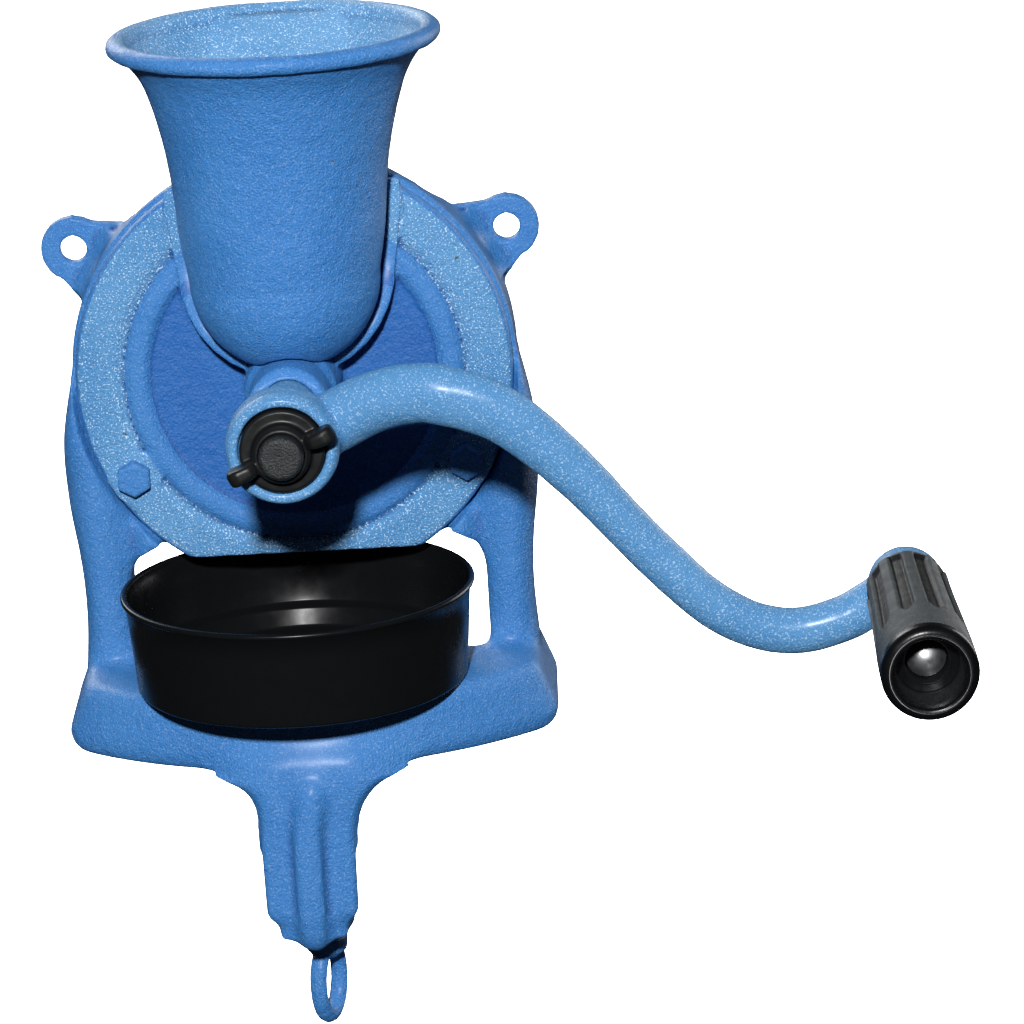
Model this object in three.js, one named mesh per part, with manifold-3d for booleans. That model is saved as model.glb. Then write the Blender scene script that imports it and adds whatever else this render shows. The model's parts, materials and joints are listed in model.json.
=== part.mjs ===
// Hand-cranked grain mill with a table clamp. Millimetres, +Z up, the crank faces -Y.
// Origin: where the clamp screw's axis meets the table top. The table top is the plane z = 0.
import * as THREE from 'three';
import { mergeVertices } from 'three/addons/utils/BufferGeometryUtils.js';
import Module from 'manifold-3d';

const wasm = await Module();
wasm.setup();

// ---- driving dimensions ----
const gap = 0.3; // between pieces that rest on each other
const runGap = 0.25; // radial play of turning pieces
const pinGap = 0.3; // round pins, screws and bolts in their holes
const fineness = 0.7; // scales the sides of every turned shape

const cupRadius = 71.7;
const cupHeight = 40;
const cupWall = 1.8;
const cupCentre = { x: -2.6, y: 11.2 }; // its front stays just behind the turning crank arm
const cupRoom = 3.4; // between the cup's rim and the drum above it

const shelfHeight = 28.8; // top of the base above the table
const drumCut = 74.5; // flat bottom of drum and cover below the shaft axis
const shaftHeight = shelfHeight + gap + cupHeight + cupRoom + drumCut;

const windowHalf = cupRadius + 1.3; // inside of the columns, so the cup slides out between them
const columnFront = 40;
const columnBack = 76;

const drumRadius = windowHalf + 17.5;
const drumWall = 8.5;
const drumBack = 84; // back plane, flat against a wall
const drumBackWall = 6;
const coverRadius = drumRadius - 1.8;
const coverFront = 42; // flat ring of the cover
const coverThick = 7;
const coverDish = 2.6; // the middle of the cover lies this far behind its ring
const beadRadius = coverRadius - 25.2; // raised ring between the dish and the flat ring
const beadHalf = 5;
const beadHeight = 3.6;

const boltCircle = coverRadius - 10.7;
const boltRadius = 3.9;
const boltHeadFlats = 13;
const boltHeadHeight = 5.3;
const boltAngles = { left: 210, right: 330, top: 90 };
const pipAngle = 323; // small raised ring beside the right bolt

const earReach = drumRadius - 1.9; // hole centres either side of the middle
const earRise = 48.9; // hole centres above the shaft axis
const earRadius = 13.5;
const earHole = 5.5;
const earThick = 7;

const baseHalfWidth = windowHalf + 27.3;
const baseTopHalfWidth = windowHalf + 19;
const baseCurve = 1.4 * baseHalfWidth; // radius of the front edge seen from above
const shelfCurve = 1.27 * baseTopHalfWidth; // the same edge at the shelf
const baseCorner = 12;
const baseFront = -25;
const baseBack = 80;
const baseWall = 7;

const tongueFront = -32;
const tongueThick = 9;
const tongueHalf = 17.2;
const ribHalf = 5.2;
const ribHeight = 6; // how far the rib stands in front of the tongue
const jawTop = -60; // upper face of the lower jaw: the clamp's throat height
const jawThick = 12;
const jawBossRadius = 13;

const clampScrewRadius = 6;
const clampPadRadius = 14;
const clampPadThick = 6;
const clampPadTop = -10; // pad at rest, just under the table seat
const loopHeight = 34;
const loopHalfWidth = 10.4;
const loopBar = 3.9;
const loopTurn = 68; // degrees about the screw at rest

const hopperCentreY = 25;
const hopperEndRadius = 38.1; // round lower end, seen from the front
const hopperRadius = hopperEndRadius + 2.9; // just above the round end
const hopperEndCentre = shaftHeight + 45.7;
const hopperTall = 96.3; // from the round end's centre to the rim
const hopperRimHeight = hopperEndCentre + hopperTall;
const hopperRimRadius = hopperRadius + 22.2;
const hopperBead = 4.2;
const hopperWall = 3.5;
const hopperBack = 35; // flat back, in front of the top bolt's head
const socketFront = 27;
const socketTop = hopperEndCentre + 33.3;
const socketWall = 5.5;

const shaftRadius = 8.7;
const shaftFront = -88;
const driveFlats = 2 * shaftRadius - 3.4; // square part of the shaft that carries the crank
const bossBore = shaftRadius + 3.1; // bored in the cover for the bush
const bossRadius = bossBore + 4.6;
const bossFront = -14;
const bushFront = -4;
const throatRadius = bossBore + 3.4; // feed throat round the auger
const throatFront = 12;
const augerFront = throatFront + 4;
const augerRadius = throatRadius - 1;
const augerTurns = 1.5;

const burrRadius = boltCircle - 16;
const burrThick = 5;
const burrGap = 0.7;
const gapOpen = 3; // how far the shaft can be let back for coarse meal
const burrHole = shaftRadius + 11.3;
const furrows = 8;
const carrierThick = 4;
const screwCircle = burrRadius - 17; // countersunk screws that hold the burrs
const screwHead = 4.2;
const screwStem = 2;
const screwBite = 3; // thread length in the cover or the carrier

const hubRadius = 22;
const hubFront = -75.4;
const hubMiddle = -56;
const armY = -70; // plane of the crank's outer part, in front of the cup
const hubNeck = bossBore - 0.4;
const hubRecess = 17;
const hubRecessDepth = 6;
const nutRadius = hubRecess - 0.6;
const crankAcross = 236; // grip axis from the shaft axis
const crankDrop = 0.282 * crankAcross;
const armRadiusHub = 12.2;
const armRadiusEnd = 9.1; // half the arm's width
const armDepthEnd = 8.2; // half its thickness front to back
const eyeRadius = 14.6;

const gripLength = 107;
const gripRadiusBase = 16.2;
const gripRadiusEnd = 18.2;
const gripBoltRadius = 5;

// ---- colours and finishes ----
const paint = () => new THREE.MeshStandardMaterial({ color: 0x3f76b5, roughness: 0.45, metalness: 0.1 });
const paintLight = () => new THREE.MeshStandardMaterial({ color: 0x5b94cb, roughness: 0.4, metalness: 0.1 });
const blackPlastic = (roughness) => new THREE.MeshStandardMaterial({ color: 0x0d0d0f, roughness, metalness: 0 });
const steel = () => new THREE.MeshStandardMaterial({ color: 0x9a9c9e, roughness: 0.35, metalness: 1 });
const ironRaw = () => new THREE.MeshStandardMaterial({ color: 0x5a5a5c, roughness: 0.6, metalness: 0.8 });
const bronze = () => new THREE.MeshStandardMaterial({ color: 0xa5773a, roughness: 0.4, metalness: 1 });

// ---- solids from closed geometries ----
const rad = THREE.MathUtils.degToRad;

function weld(geometry) {
  const bare = geometry.clone();
  bare.deleteAttribute('normal');
  bare.deleteAttribute('uv');
  return mergeVertices(bare, 1e-4);
}

function signedVolume(position, triangles) {
  let six = 0;
  const a = new THREE.Vector3();
  const b = new THREE.Vector3();
  const c = new THREE.Vector3();
  for (let i = 0; i < triangles.length; i += 3) {
    a.fromBufferAttribute(position, triangles[i]);
    b.fromBufferAttribute(position, triangles[i + 1]);
    c.fromBufferAttribute(position, triangles[i + 2]);
    six += a.dot(b.cross(c));
  }
  return six / 6;
}

function solid(geometry) {
  const welded = weld(geometry);
  const triangles = [];
  const index = welded.index.array;
  for (let i = 0; i < index.length; i += 3) {
    const [a, b, c] = [index[i], index[i + 1], index[i + 2]];
    if (a !== b && b !== c && c !== a) triangles.push(a, b, c);
  }
  if (signedVolume(welded.attributes.position, triangles) < 0) triangles.reverse();
  const vertProperties = new Float32Array(welded.attributes.position.array);
  const triVerts = new Uint32Array(triangles);
  return new wasm.Manifold(new wasm.Mesh({ numProp: 3, vertProperties, triVerts }));
}

const join = (...pieces) => pieces.reduce((all, piece) => all.add(piece));

function piece(name, material, shape) {
  const made = shape.getMesh();
  const geometry = new THREE.BufferGeometry();
  geometry.setAttribute('position', new THREE.BufferAttribute(new Float32Array(made.vertProperties), 3));
  geometry.setIndex(new THREE.BufferAttribute(new Uint32Array(made.triVerts), 1));
  geometry.computeVertexNormals();
  const mesh = new THREE.Mesh(geometry, material);
  mesh.name = name;
  return mesh;
}

// profile points are [radius, height]; the first and last lie on the axis or the outline closes on itself
function lathe(points, sides) {
  const count = sides <= 8 ? sides : Math.round(sides * fineness);
  return new THREE.LatheGeometry(points.map(([r, h]) => new THREE.Vector2(Math.max(r, 0), h)), count);
}

// turned about a line along Y through (x, z); heights are y
const turnedY = (points, segments, x = 0, z = shaftHeight) => solid(lathe(points, segments).translate(x, 0, z));

// turned about a line along Z through (x, y); heights are z
const turnedZ = (points, segments, x = 0, y = 0) => solid(lathe(points, segments)
  .rotateX(Math.PI / 2).translate(x, y, 0));

const rodY = (r, y0, y1, segments, x, z) => turnedY([[0, y0], [r, y0], [r, y1], [0, y1]], segments, x, z);
const rodZ = (r, z0, z1, segments, x, y) => turnedZ([[0, z0], [r, z0], [r, z1], [0, z1]], segments, x, y);

function block(x0, x1, y0, y1, z0, z1) {
  const box = new THREE.BoxGeometry(x1 - x0, y1 - y0, z1 - z0);
  return solid(box.translate((x0 + x1) / 2, (y0 + y1) / 2, (z0 + z1) / 2));
}

// a front-view outline (x, z) given its depth from y0 to y1, with rounded long edges
function plateY(shape, y0, y1, round = 0, curveSegments = 10) {
  const settings = { depth: y1 - y0 - 2 * round, curveSegments, bevelEnabled: round > 0 };
  Object.assign(settings, { bevelSize: round, bevelThickness: round, bevelOffset: -round, bevelSegments: 2 });
  return solid(new THREE.ExtrudeGeometry(shape, settings).rotateX(Math.PI / 2).translate(0, y1 - round, 0));
}

// a side-view outline (y, z) given its width from x0 to x1
function plateX(shape, x0, x1, round = 0, curveSegments = 8) {
  const settings = { depth: x1 - x0 - 2 * round, curveSegments, bevelEnabled: round > 0 };
  Object.assign(settings, { bevelSize: round, bevelThickness: round, bevelOffset: -round, bevelSegments: 2 });
  const turn = new THREE.Matrix4().set(0, 0, 1, x0 + round, 1, 0, 0, 0, 0, 1, 0, 0, 0, 0, 0, 1);
  return solid(new THREE.ExtrudeGeometry(shape, settings).applyMatrix4(turn));
}

// rings of equally many points, from the first ring to the last, with a fan closing each end
function loft(rings) {
  const count = rings[0].length;
  const positions = rings.flat().flatMap((p) => [p.x, p.y, p.z]);
  const triangles = [];
  for (let k = 0; k + 1 < rings.length; k++) {
    for (let i = 0; i < count; i++) {
      const a = k * count + i;
      const b = k * count + ((i + 1) % count);
      triangles.push(a, b, b + count, a, b + count, a + count);
    }
  }
  [0, rings.length - 1].forEach((k) => {
    const centre = rings[k].reduce((sum, p) => sum.add(p), new THREE.Vector3()).divideScalar(count);
    positions.push(centre.x, centre.y, centre.z);
    const tip = positions.length / 3 - 1;
    for (let i = 0; i < count; i++) {
      const a = k * count + i;
      const b = k * count + ((i + 1) % count);
      if (k === 0) triangles.push(b, a, tip);
      else triangles.push(a, b, tip);
    }
  });
  const geometry = new THREE.BufferGeometry();
  geometry.setAttribute('position', new THREE.Float32BufferAttribute(positions, 3));
  geometry.setIndex(triangles);
  return solid(geometry);
}

// rings joined in a circle, the last to the first
function closedLoft(rings) {
  const count = rings[0].length;
  const triangles = [];
  rings.forEach((ring, k) => {
    const here = k * count;
    const next = ((k + 1) % rings.length) * count;
    for (let i = 0; i < count; i++) {
      const j = (i + 1) % count;
      triangles.push(here + i, here + j, next + j, here + i, next + j, next + i);
    }
  });
  const positions = rings.flat().flatMap((p) => [p.x, p.y, p.z]);
  const geometry = new THREE.BufferGeometry();
  geometry.setAttribute('position', new THREE.Float32BufferAttribute(positions, 3));
  geometry.setIndex(triangles);
  return solid(geometry);
}

// ---- dependent places ----
function onCircle(radius, degrees) {
  return [radius * Math.cos(rad(degrees)), shaftHeight + radius * Math.sin(rad(degrees))];
}

const screwPlaces = [67.5, 202.5, 337.5].map((degrees) => onCircle(screwCircle, degrees)); // between furrows
const screwLength = burrThick + gap + screwBite;
const boltPlaces = Object.fromEntries(Object.entries(boltAngles).map(([k, a]) => [k, onCircle(boltCircle, a)]));
const coverBack = coverFront + coverThick;
const drumFront = coverBack + gap;
const chamberBack = drumBack - drumBackWall;
const cutHeight = shaftHeight - drumCut;
const rearBossFront = chamberBack - 5.5;
const gripAxis = [crankAcross, shaftHeight - crankDrop];
const eyeFront = armY - 10;
const eyeBack = armY + 9.6;
const gripBase = eyeFront - gap;
const gripEnd = gripBase - gripLength;
const belowCut = (y0, y1) => block(-drumRadius, drumRadius, y0, y1, cutHeight - drumRadius, cutHeight);

// ---- body casting: drum, ears, columns, base and clamp frame in one piece ----
function columnOutline() {
  const foot = [windowHalf + 20.5, shelfHeight];
  const right = [
    foot, [windowHalf + 19.2, 50], [windowHalf + 20.2, 72], [windowHalf + 23.2, 95],
    [windowHalf + 23.4, 120], [drumRadius + 2, shaftHeight - 5], [drumRadius - 4, shaftHeight + 18],
  ];
  const curve = new THREE.SplineCurve(right.map(([x, z]) => new THREE.Vector2(x, z)));
  const side = [new THREE.Vector2(foot[0], shelfHeight - 18), ...curve.getPoints(16)];
  const other = side.map((p) => new THREE.Vector2(-p.x, p.y)).reverse();
  return new THREE.Shape([...side, ...other]);
}

function windowOutline() {
  const top = cutHeight + 5.5;
  const corner = 18;
  const shape = new THREE.Shape();
  shape.moveTo(-windowHalf, shelfHeight);
  shape.lineTo(windowHalf, shelfHeight);
  shape.lineTo(windowHalf, top - corner);
  shape.absarc(windowHalf - corner, top - corner, corner, 0, Math.PI / 2, false);
  shape.absarc(-windowHalf + corner, top - corner, corner, Math.PI / 2, Math.PI, false);
  return shape;
}

function drum() {
  const edge = 4;
  const back = drumBack;
  const outline = [
    [0, drumFront], [drumRadius - 1, drumFront], [drumRadius, drumFront + 1], [drumRadius, back - edge],
    [drumRadius - edge * 0.3, back - edge * 0.3], [drumRadius - edge, back], [0, back],
  ];
  return turnedY(outline, 56);
}

function ear(side) {
  const [x, z] = [side * earReach, shaftHeight + earRise];
  const lug = rodY(earRadius, drumBack - earThick, drumBack, 28, x, z);
  const reach = Math.hypot(x, earRise);
  const lean = Math.atan2(earRise, x);
  const web = new THREE.Shape();
  web.moveTo(drumRadius - 12, -23);
  web.quadraticCurveTo(drumRadius + 1, -17, reach - 1, -earRadius + 0.3);
  web.lineTo(reach - 1, earRadius - 0.3);
  web.quadraticCurveTo(drumRadius + 1, 17, drumRadius - 12, 23);
  const settings = { depth: earThick, bevelEnabled: false, curveSegments: 6 };
  const flat = new THREE.ExtrudeGeometry(web, settings).rotateZ(lean).rotateX(Math.PI / 2);
  const gusset = new THREE.Shape();
  gusset.moveTo(drumRadius - 8, 0);
  gusset.lineTo(drumRadius + 5, 0);
  gusset.quadraticCurveTo(drumRadius - 0.5, 6, drumRadius - 2, 17);
  gusset.lineTo(drumRadius - 8, 17);
  const wedge = new THREE.ExtrudeGeometry(gusset, { depth: 30, bevelEnabled: false, curveSegments: 6 });
  // outline x runs outward and y forward; the depth becomes the width across the ear
  wedge.applyMatrix4(new THREE.Matrix4().set(1, 0, 0, 0, 0, 0, 1, -15, 0, 1, 0, 0, 0, 0, 0, 1));
  wedge.rotateZ(lean).rotateX(Math.PI / 2);
  const webSolid = solid(flat.translate(0, drumBack, shaftHeight));
  const wedgeSolid = solid(wedge.translate(0, drumBack - earThick + 0.5, shaftHeight));
  return join(lug, webSolid, wedgeSolid);
}

// plan outline of the base at one height: curved front, rounded corners, straight back
function baseRing(halfWidth, front, back, curve, height) {
  const half = [];
  const frontSteps = 12;
  const cornerSteps = 5;
  const corner = baseCorner;
  const centre = front + curve;
  const bend = Math.asin((halfWidth - corner) / (curve - corner));
  for (let i = 0; i <= frontSteps; i++) {
    const a = (bend * i) / frontSteps;
    half.push([curve * Math.sin(a), centre - curve * Math.cos(a)]);
  }
  const pivot = [(curve - corner) * Math.sin(bend), centre - (curve - corner) * Math.cos(bend)];
  for (let i = 1; i <= cornerSteps; i++) {
    const a = bend + ((Math.PI / 2 - bend) * i) / cornerSteps;
    half.push([pivot[0] + corner * Math.sin(a), pivot[1] - corner * Math.cos(a)]);
  }
  half.push([halfWidth, back]);
  const mirrored = half.slice(1).reverse().map(([x, y]) => [-x, y]);
  return [...half, ...mirrored].map(([x, y]) => new THREE.Vector3(x, y, height));
}

function base() {
  const wide = baseHalfWidth;
  const top = baseTopHalfWidth;
  const wall = baseWall;
  const outside = loft([
    baseRing(wide - 5, baseFront + 3.5, baseBack, baseCurve, 0),
    baseRing(wide - 1.5, baseFront + 1, baseBack, baseCurve, 3),
    baseRing(wide, baseFront, baseBack, baseCurve, 8),
    baseRing(top + 2, baseFront, baseBack, shelfCurve + 8, shelfHeight - 5),
    baseRing(top + 0.5, baseFront + 0.5, baseBack, shelfCurve + 2, shelfHeight - 1.5),
    baseRing(top - 1.5, baseFront + 2, baseBack, shelfCurve, shelfHeight),
  ]);
  const inside = loft([
    baseRing(wide - wall - 3, baseFront + wall + 2, baseBack - wall, baseCurve, -1),
    baseRing(top - wall, baseFront + wall, baseBack - wall, shelfCurve + 8, shelfHeight - wall + 1),
  ]);
  return outside.subtract(inside);
}

// the upright of the clamp, with its flare into the skirt of the base
function tongueOutline() {
  const shape = new THREE.Shape();
  const foot = jawTop - 1.5;
  const shoulder = 4;
  const flare = tongueHalf + 19;
  const flareTop = 7;
  shape.moveTo(-flare, flareTop);
  shape.lineTo(-flare, flareTop - 6.5);
  shape.bezierCurveTo(-tongueHalf - 9, 0, -tongueHalf - 1.5, -6, -tongueHalf - 0.4, -22);
  shape.lineTo(-tongueHalf, foot + shoulder);
  shape.quadraticCurveTo(-tongueHalf, foot, -tongueHalf + shoulder, foot);
  shape.lineTo(tongueHalf - shoulder, foot);
  shape.quadraticCurveTo(tongueHalf, foot, tongueHalf, foot + shoulder);
  shape.lineTo(tongueHalf + 0.4, -22);
  shape.bezierCurveTo(tongueHalf + 1.5, -6, tongueHalf + 9, 0, flare, flareTop - 6.5);
  shape.lineTo(flare, flareTop);
  return shape;
}

// rib down the front of the tongue, curling back under the lower jaw
function ribOutline() {
  const front = tongueFront - ribHeight;
  const under = jawTop - jawThick - 3;
  const inside = tongueFront + 7;
  const shape = new THREE.Shape();
  shape.moveTo(inside, 4);
  shape.lineTo(tongueFront - 0.5, 2);
  shape.quadraticCurveTo(front, -8, front, -24);
  shape.lineTo(front, under + 15);
  shape.quadraticCurveTo(front, under, front + 15, under);
  shape.lineTo(-jawBossRadius + 3, under);
  shape.lineTo(-jawBossRadius + 3, jawTop - 3);
  shape.lineTo(inside, jawTop - 3);
  return shape;
}

function jawOutline() {
  const shape = new THREE.Shape();
  shape.moveTo(-jawBossRadius, tongueFront + 2);
  shape.lineTo(jawBossRadius, tongueFront + 2);
  shape.lineTo(jawBossRadius, 0);
  shape.absarc(0, 0, jawBossRadius, 0, Math.PI, false);
  return shape;
}

function bodyCasting() {
  const frameShape = columnOutline();
  const columns = plateY(frameShape, columnFront, columnBack, 8);
  const opening = plateY(windowOutline(), columnFront - 20, columnBack + 20);
  const seat = rodY(coverRadius + 1.4, columnFront - 5, drumFront + 0.01, 56);
  const shell = join(drum().subtract(belowCut(drumFront - 1, drumBack + 1)), ear(-1), ear(1));
  const frame = columns.subtract(opening).subtract(seat);
  const chamberRadius = drumRadius - drumWall;
  const chamber = rodY(chamberRadius, drumFront - 1, chamberBack, 48);
  const shaped = join(frame, shell).subtract(chamber);
  const bosses = Object.values(boltPlaces).map(([x, z]) => rodY(8.5, drumFront, chamberBack + 1, 24, x, z));
  const rearBoss = rodY(13, rearBossFront, chamberBack + 1, 32);
  const upperJaw = block(-tongueHalf, tongueHalf, tongueFront + 1, 24, 0, shelfHeight - 4);
  const tongue = plateY(tongueOutline(), tongueFront, tongueFront + tongueThick, 2.2, 8);
  const rib = plateX(ribOutline(), -ribHalf, ribHalf, 2.5);
  const jawSettings = { depth: jawThick, bevelEnabled: false, curveSegments: 14 };
  const jaw = solid(new THREE.ExtrudeGeometry(jawOutline(), jawSettings).translate(0, 0, jawTop - jawThick));
  const jawBoss = rodZ(jawBossRadius - 1, jawTop - jawThick - 4, jawTop + 3, 28);
  const cast = join(shaped, ...bosses, rearBoss, base(), upperJaw, tongue, rib, jaw, jawBoss);
  const boltRoom = boltRadius + pinGap / 2;
  const holes = Object.values(boltPlaces).map(([x, z]) => (
    rodY(boltRoom, drumFront - 1, chamberBack - 3, 20, x, z)));
  const earHoles = [-1, 1].map((side) => rodY(earHole, drumBack - 30, drumBack + 1, 24, side * earReach,
    shaftHeight + earRise));
  const screwHole = rodZ(clampScrewRadius + runGap, jawTop - jawThick - 20, jawTop + 10, 32);
  const rearBore = rodY(shaftRadius + runGap, rearBossFront - 1, drumBack - 2.5, 32);
  return [...holes, ...earHoles, screwHole, rearBore].reduce((all, hole) => all.subtract(hole), cast);
}

// ---- outline shared by the hopper and its socket ----
// outside radius of the hopper at heights above the round lower end
const flare = hopperRimRadius - hopperRadius;
const hopperSide = new THREE.SplineCurve([
  [hopperEndRadius, 0], [hopperRadius, 0.2], [hopperRadius + 0.07 * flare, 0.37],
  [hopperRadius + 0.18 * flare, 0.55], [hopperRadius + 0.36 * flare, 0.72], [hopperRadius + 0.59 * flare, 0.86],
  [hopperRimRadius - 0.5, 0.975],
].map(([r, part]) => new THREE.Vector2(r, hopperEndCentre + part * hopperTall)));

// ---- front cover with bearing boss, feed throat and the hopper's socket ----
function coverPlate() {
  const bead = [];
  for (let i = 0; i <= 6; i++) {
    const a = Math.PI * (1 - i / 6);
    bead.push([beadRadius + beadHalf * Math.cos(a), coverFront + coverDish - beadHeight * Math.sin(a)]);
  }
  const groove = beadRadius + beadHalf + 3;
  const outline = [
    [0, coverFront + coverDish], ...bead, [groove, coverFront + 0.8], [groove + 1.5, coverFront],
    [coverRadius - 3, coverFront], [coverRadius - 0.9, coverFront + 0.9], [coverRadius, coverFront + 3],
    [coverRadius, coverBack], [0, coverBack],
  ];
  return turnedY(outline, 56);
}

// front view of the hopper's lower end and sides, grown by `grow`, up to a height
function hopperOutline(grow, top) {
  const below = hopperSide.getPoints(14).filter((p) => p.y < top - 4);
  const right = below.map((p) => new THREE.Vector2(p.x + grow, p.y));
  right.push(new THREE.Vector2(right.at(-1).x, top));
  const left = right.map((p) => new THREE.Vector2(-p.x, p.y)).reverse();
  const end = [];
  const steps = 16;
  for (let i = 1; i < steps; i++) {
    const a = Math.PI * (1 + i / steps);
    const r = hopperEndRadius + grow;
    end.push(new THREE.Vector2(r * Math.cos(a), hopperEndCentre + r * Math.sin(a)));
  }
  return new THREE.Shape([...left, ...end, ...right]);
}

// bearing boss and feed throat from outside, grown by `grow`
function neckShape(grow) {
  const throat = throatRadius + 3.4;
  return turnedY([
    [0, bossFront - grow], [bossRadius - 0.8 + grow, bossFront - grow], [bossRadius + grow, bossFront + 0.8],
    [bossRadius + grow, throatFront - 4], [throat + grow, throatFront], [throat + 1 + grow, coverFront + 1],
    [0, coverFront + 1],
  ], 40);
}

function frontCover() {
  const lugs = Object.values(boltPlaces).map(([x, z]) => rodY(11.3, coverFront, coverBack, 28, x, z));
  const edge = rodY(coverRadius, coverFront, coverBack, 56);
  const [pipX, pipZ] = onCircle(boltCircle - 0.8, pipAngle);
  const pip = turnedY([
    [0, coverFront + 0.4], [1.6, coverFront + 0.4], [2, coverFront - 0.6], [2.7, coverFront - 0.6],
    [3.1, coverFront + 0.5], [0, coverFront + 0.5],
  ], 20, pipX, pipZ);
  const plate = join(coverPlate(), ...lugs.map((lug) => lug.intersect(edge)), pip);
  const socket = plateY(hopperOutline(socketWall, socketTop), socketFront, coverFront + 4, 2);
  const slopeBox = new THREE.BoxGeometry(200, 80, 80).rotateX(rad(-24));
  const slope = solid(slopeBox.translate(0, socketFront - 34, socketTop + 32));
  const neck = neckShape(0);
  const outside = join(plate, socket.subtract(slope), neck);
  const hopperRoom = plateY(hopperOutline(0.5, socketTop + 20), -60, hopperBack + 0.4);
  const headRoom = block(-hopperEndRadius, hopperEndRadius, hopperBack, coverFront, boltPlaces.top[1] - 12,
    socketTop + 34);
  const throat = rodY(throatRadius, throatFront, coverBack + 1, 36);
  const bore = rodY(bossBore, bossFront - 1, throatFront + 1, 36);
  const inlet = block(-9, 9, throatFront + 4, hopperBack - 3.5, shaftHeight + 5, hopperEndCentre);
  const boltHole = boltRadius + pinGap + 0.2;
  const boltHoles = Object.values(boltPlaces).map(([x, z]) => (
    rodY(boltHole, coverFront - 9, coverBack + 1, 20, x, z)));
  const tapFront = coverBack - screwBite - 0.4;
  const screwHoles = screwPlaces.map(([x, z]) => rodY(screwStem + pinGap, tapFront, coverBack + 1, 16, x, z));
  const bottom = belowCut(coverFront - 10, coverBack + 10);
  const cuts = [hopperRoom.subtract(neck), headRoom, throat, bore, inlet, bottom, ...boltHoles, ...screwHoles];
  return cuts.reduce((all, cut) => all.subtract(cut), outside);
}

function coverBolt([x, z]) {
  const corner = boltHeadFlats / 2 / Math.cos(Math.PI / 6);
  const seat = coverFront - gap;
  const top = seat - boltHeadHeight;
  const profile = [[0, top], [corner - 1.1, top], [corner, top + 0.7], [corner, seat], [0, seat]];
  const head = turnedY(profile, 6, x, z);
  return join(head, rodY(boltRadius, seat - 0.1, chamberBack - 6, 20, x, z));
}

// ---- hopper ----
function hopperProfile(shrink, beadRadius) {
  const points = [];
  const r = hopperEndRadius - shrink;
  for (let i = 0; i < 6; i++) {
    const a = rad(-90 + 15 * i);
    points.push([r * Math.cos(a), hopperEndCentre + r * Math.sin(a)]);
  }
  hopperSide.getPoints(10).forEach((p) => points.push([p.x - shrink, p.y]));
  const over = hopperRimHeight + 10;
  if (!beadRadius) return [...points, [hopperRimRadius - shrink, over], [0, over]];
  for (let i = 0; i <= 7; i++) {
    const a = rad(-72 + 36 * i);
    const rise = 0.88 * beadRadius * Math.sin(a);
    points.push([hopperRimRadius + beadRadius * Math.cos(a), hopperRimHeight + rise]);
  }
  return [...points, [0, hopperRimHeight - 2]];
}

// the flat back, leaning back above the drum
function hopperFront(inset) {
  const back = hopperBack - inset;
  const lean = boltPlaces.top[1] + 9.5 + inset;
  const shape = new THREE.Shape();
  const rise = hopperRimHeight + 12 - lean;
  const half = hopperRimRadius + 20;
  shape.moveTo(hopperCentreY - half, shaftHeight - half);
  shape.lineTo(back, shaftHeight - half);
  shape.lineTo(back, lean);
  shape.lineTo(back + 0.91 * rise, lean + rise);
  shape.lineTo(hopperCentreY - half, lean + rise);
  return plateX(shape, -half, half);
}

function hopper() {
  const outside = turnedZ(hopperProfile(0, hopperBead), 48, 0, hopperCentreY).intersect(hopperFront(0));
  const inside = turnedZ(hopperProfile(hopperWall, 0), 48, 0, hopperCentreY).intersect(hopperFront(hopperWall));
  const outlet = block(-8.5, 8.5, throatFront + 4.5, hopperBack - 4, shaftHeight + 4, hopperEndCentre);
  return outside.subtract(inside).subtract(neckShape(0.6)).subtract(outlet);
}

// ---- burrs, shaft and feed ----
const fixedBurrFront = coverBack + gap;
const fixedBurrBack = fixedBurrFront + burrThick;
const burrFront = fixedBurrBack + burrGap;
const burrBack = burrFront + burrThick;
const carrierFront = burrBack + gap;
const carrierBack = carrierFront + carrierThick;

// radial furrows across one face of a burr
function furrowed(disc, face) {
  const length = burrRadius - burrHole - 10;
  let out = disc;
  for (let i = 0; i < furrows; i++) {
    const furrow = new THREE.BoxGeometry(length, 2.4, 3).translate((burrRadius + burrHole) / 2 + 2, 0, 0);
    furrow.rotateY(rad((360 / furrows) * i)).translate(0, face, shaftHeight);
    out = out.subtract(solid(furrow));
  }
  return out;
}

function fixedBurr() {
  const ring = turnedY([
    [burrHole, fixedBurrFront], [burrRadius, fixedBurrFront], [burrRadius, fixedBurrBack - 1],
    [burrRadius - 1, fixedBurrBack], [burrHole + 8, fixedBurrBack], [burrHole, fixedBurrBack - 2.5],
    [burrHole, fixedBurrFront],
  ], 40);
  const holes = screwPlaces.map(([x, z]) => turnedY(screwCut(fixedBurrBack, -1), 16, x, z));
  return holes.reduce((all, hole) => all.subtract(hole), furrowed(ring, fixedBurrBack));
}

function rotatingBurr() {
  const ring = turnedY([
    [burrHole, burrFront + 2.5], [burrHole + 8, burrFront], [burrRadius - 1, burrFront],
    [burrRadius, burrFront + 1], [burrRadius, burrBack], [burrHole, burrBack], [burrHole, burrFront + 2.5],
  ], 40);
  const holes = screwPlaces.map(([x, z]) => turnedY(screwCut(burrFront, 1), 16, x, z));
  return holes.reduce((all, hole) => all.subtract(hole), furrowed(ring, burrFront));
}

// room for a countersunk screw whose head lies in `face`
function screwCut(face, along) {
  const wide = screwHead + 0.5;
  const slim = screwStem + pinGap;
  const points = [[0, -1], [wide, -1], [wide, 1], [slim, 3], [slim, screwLength + 0.5], [0, screwLength + 0.5]];
  return points.map(([r, h]) => [r, face + along * h]);
}

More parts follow.
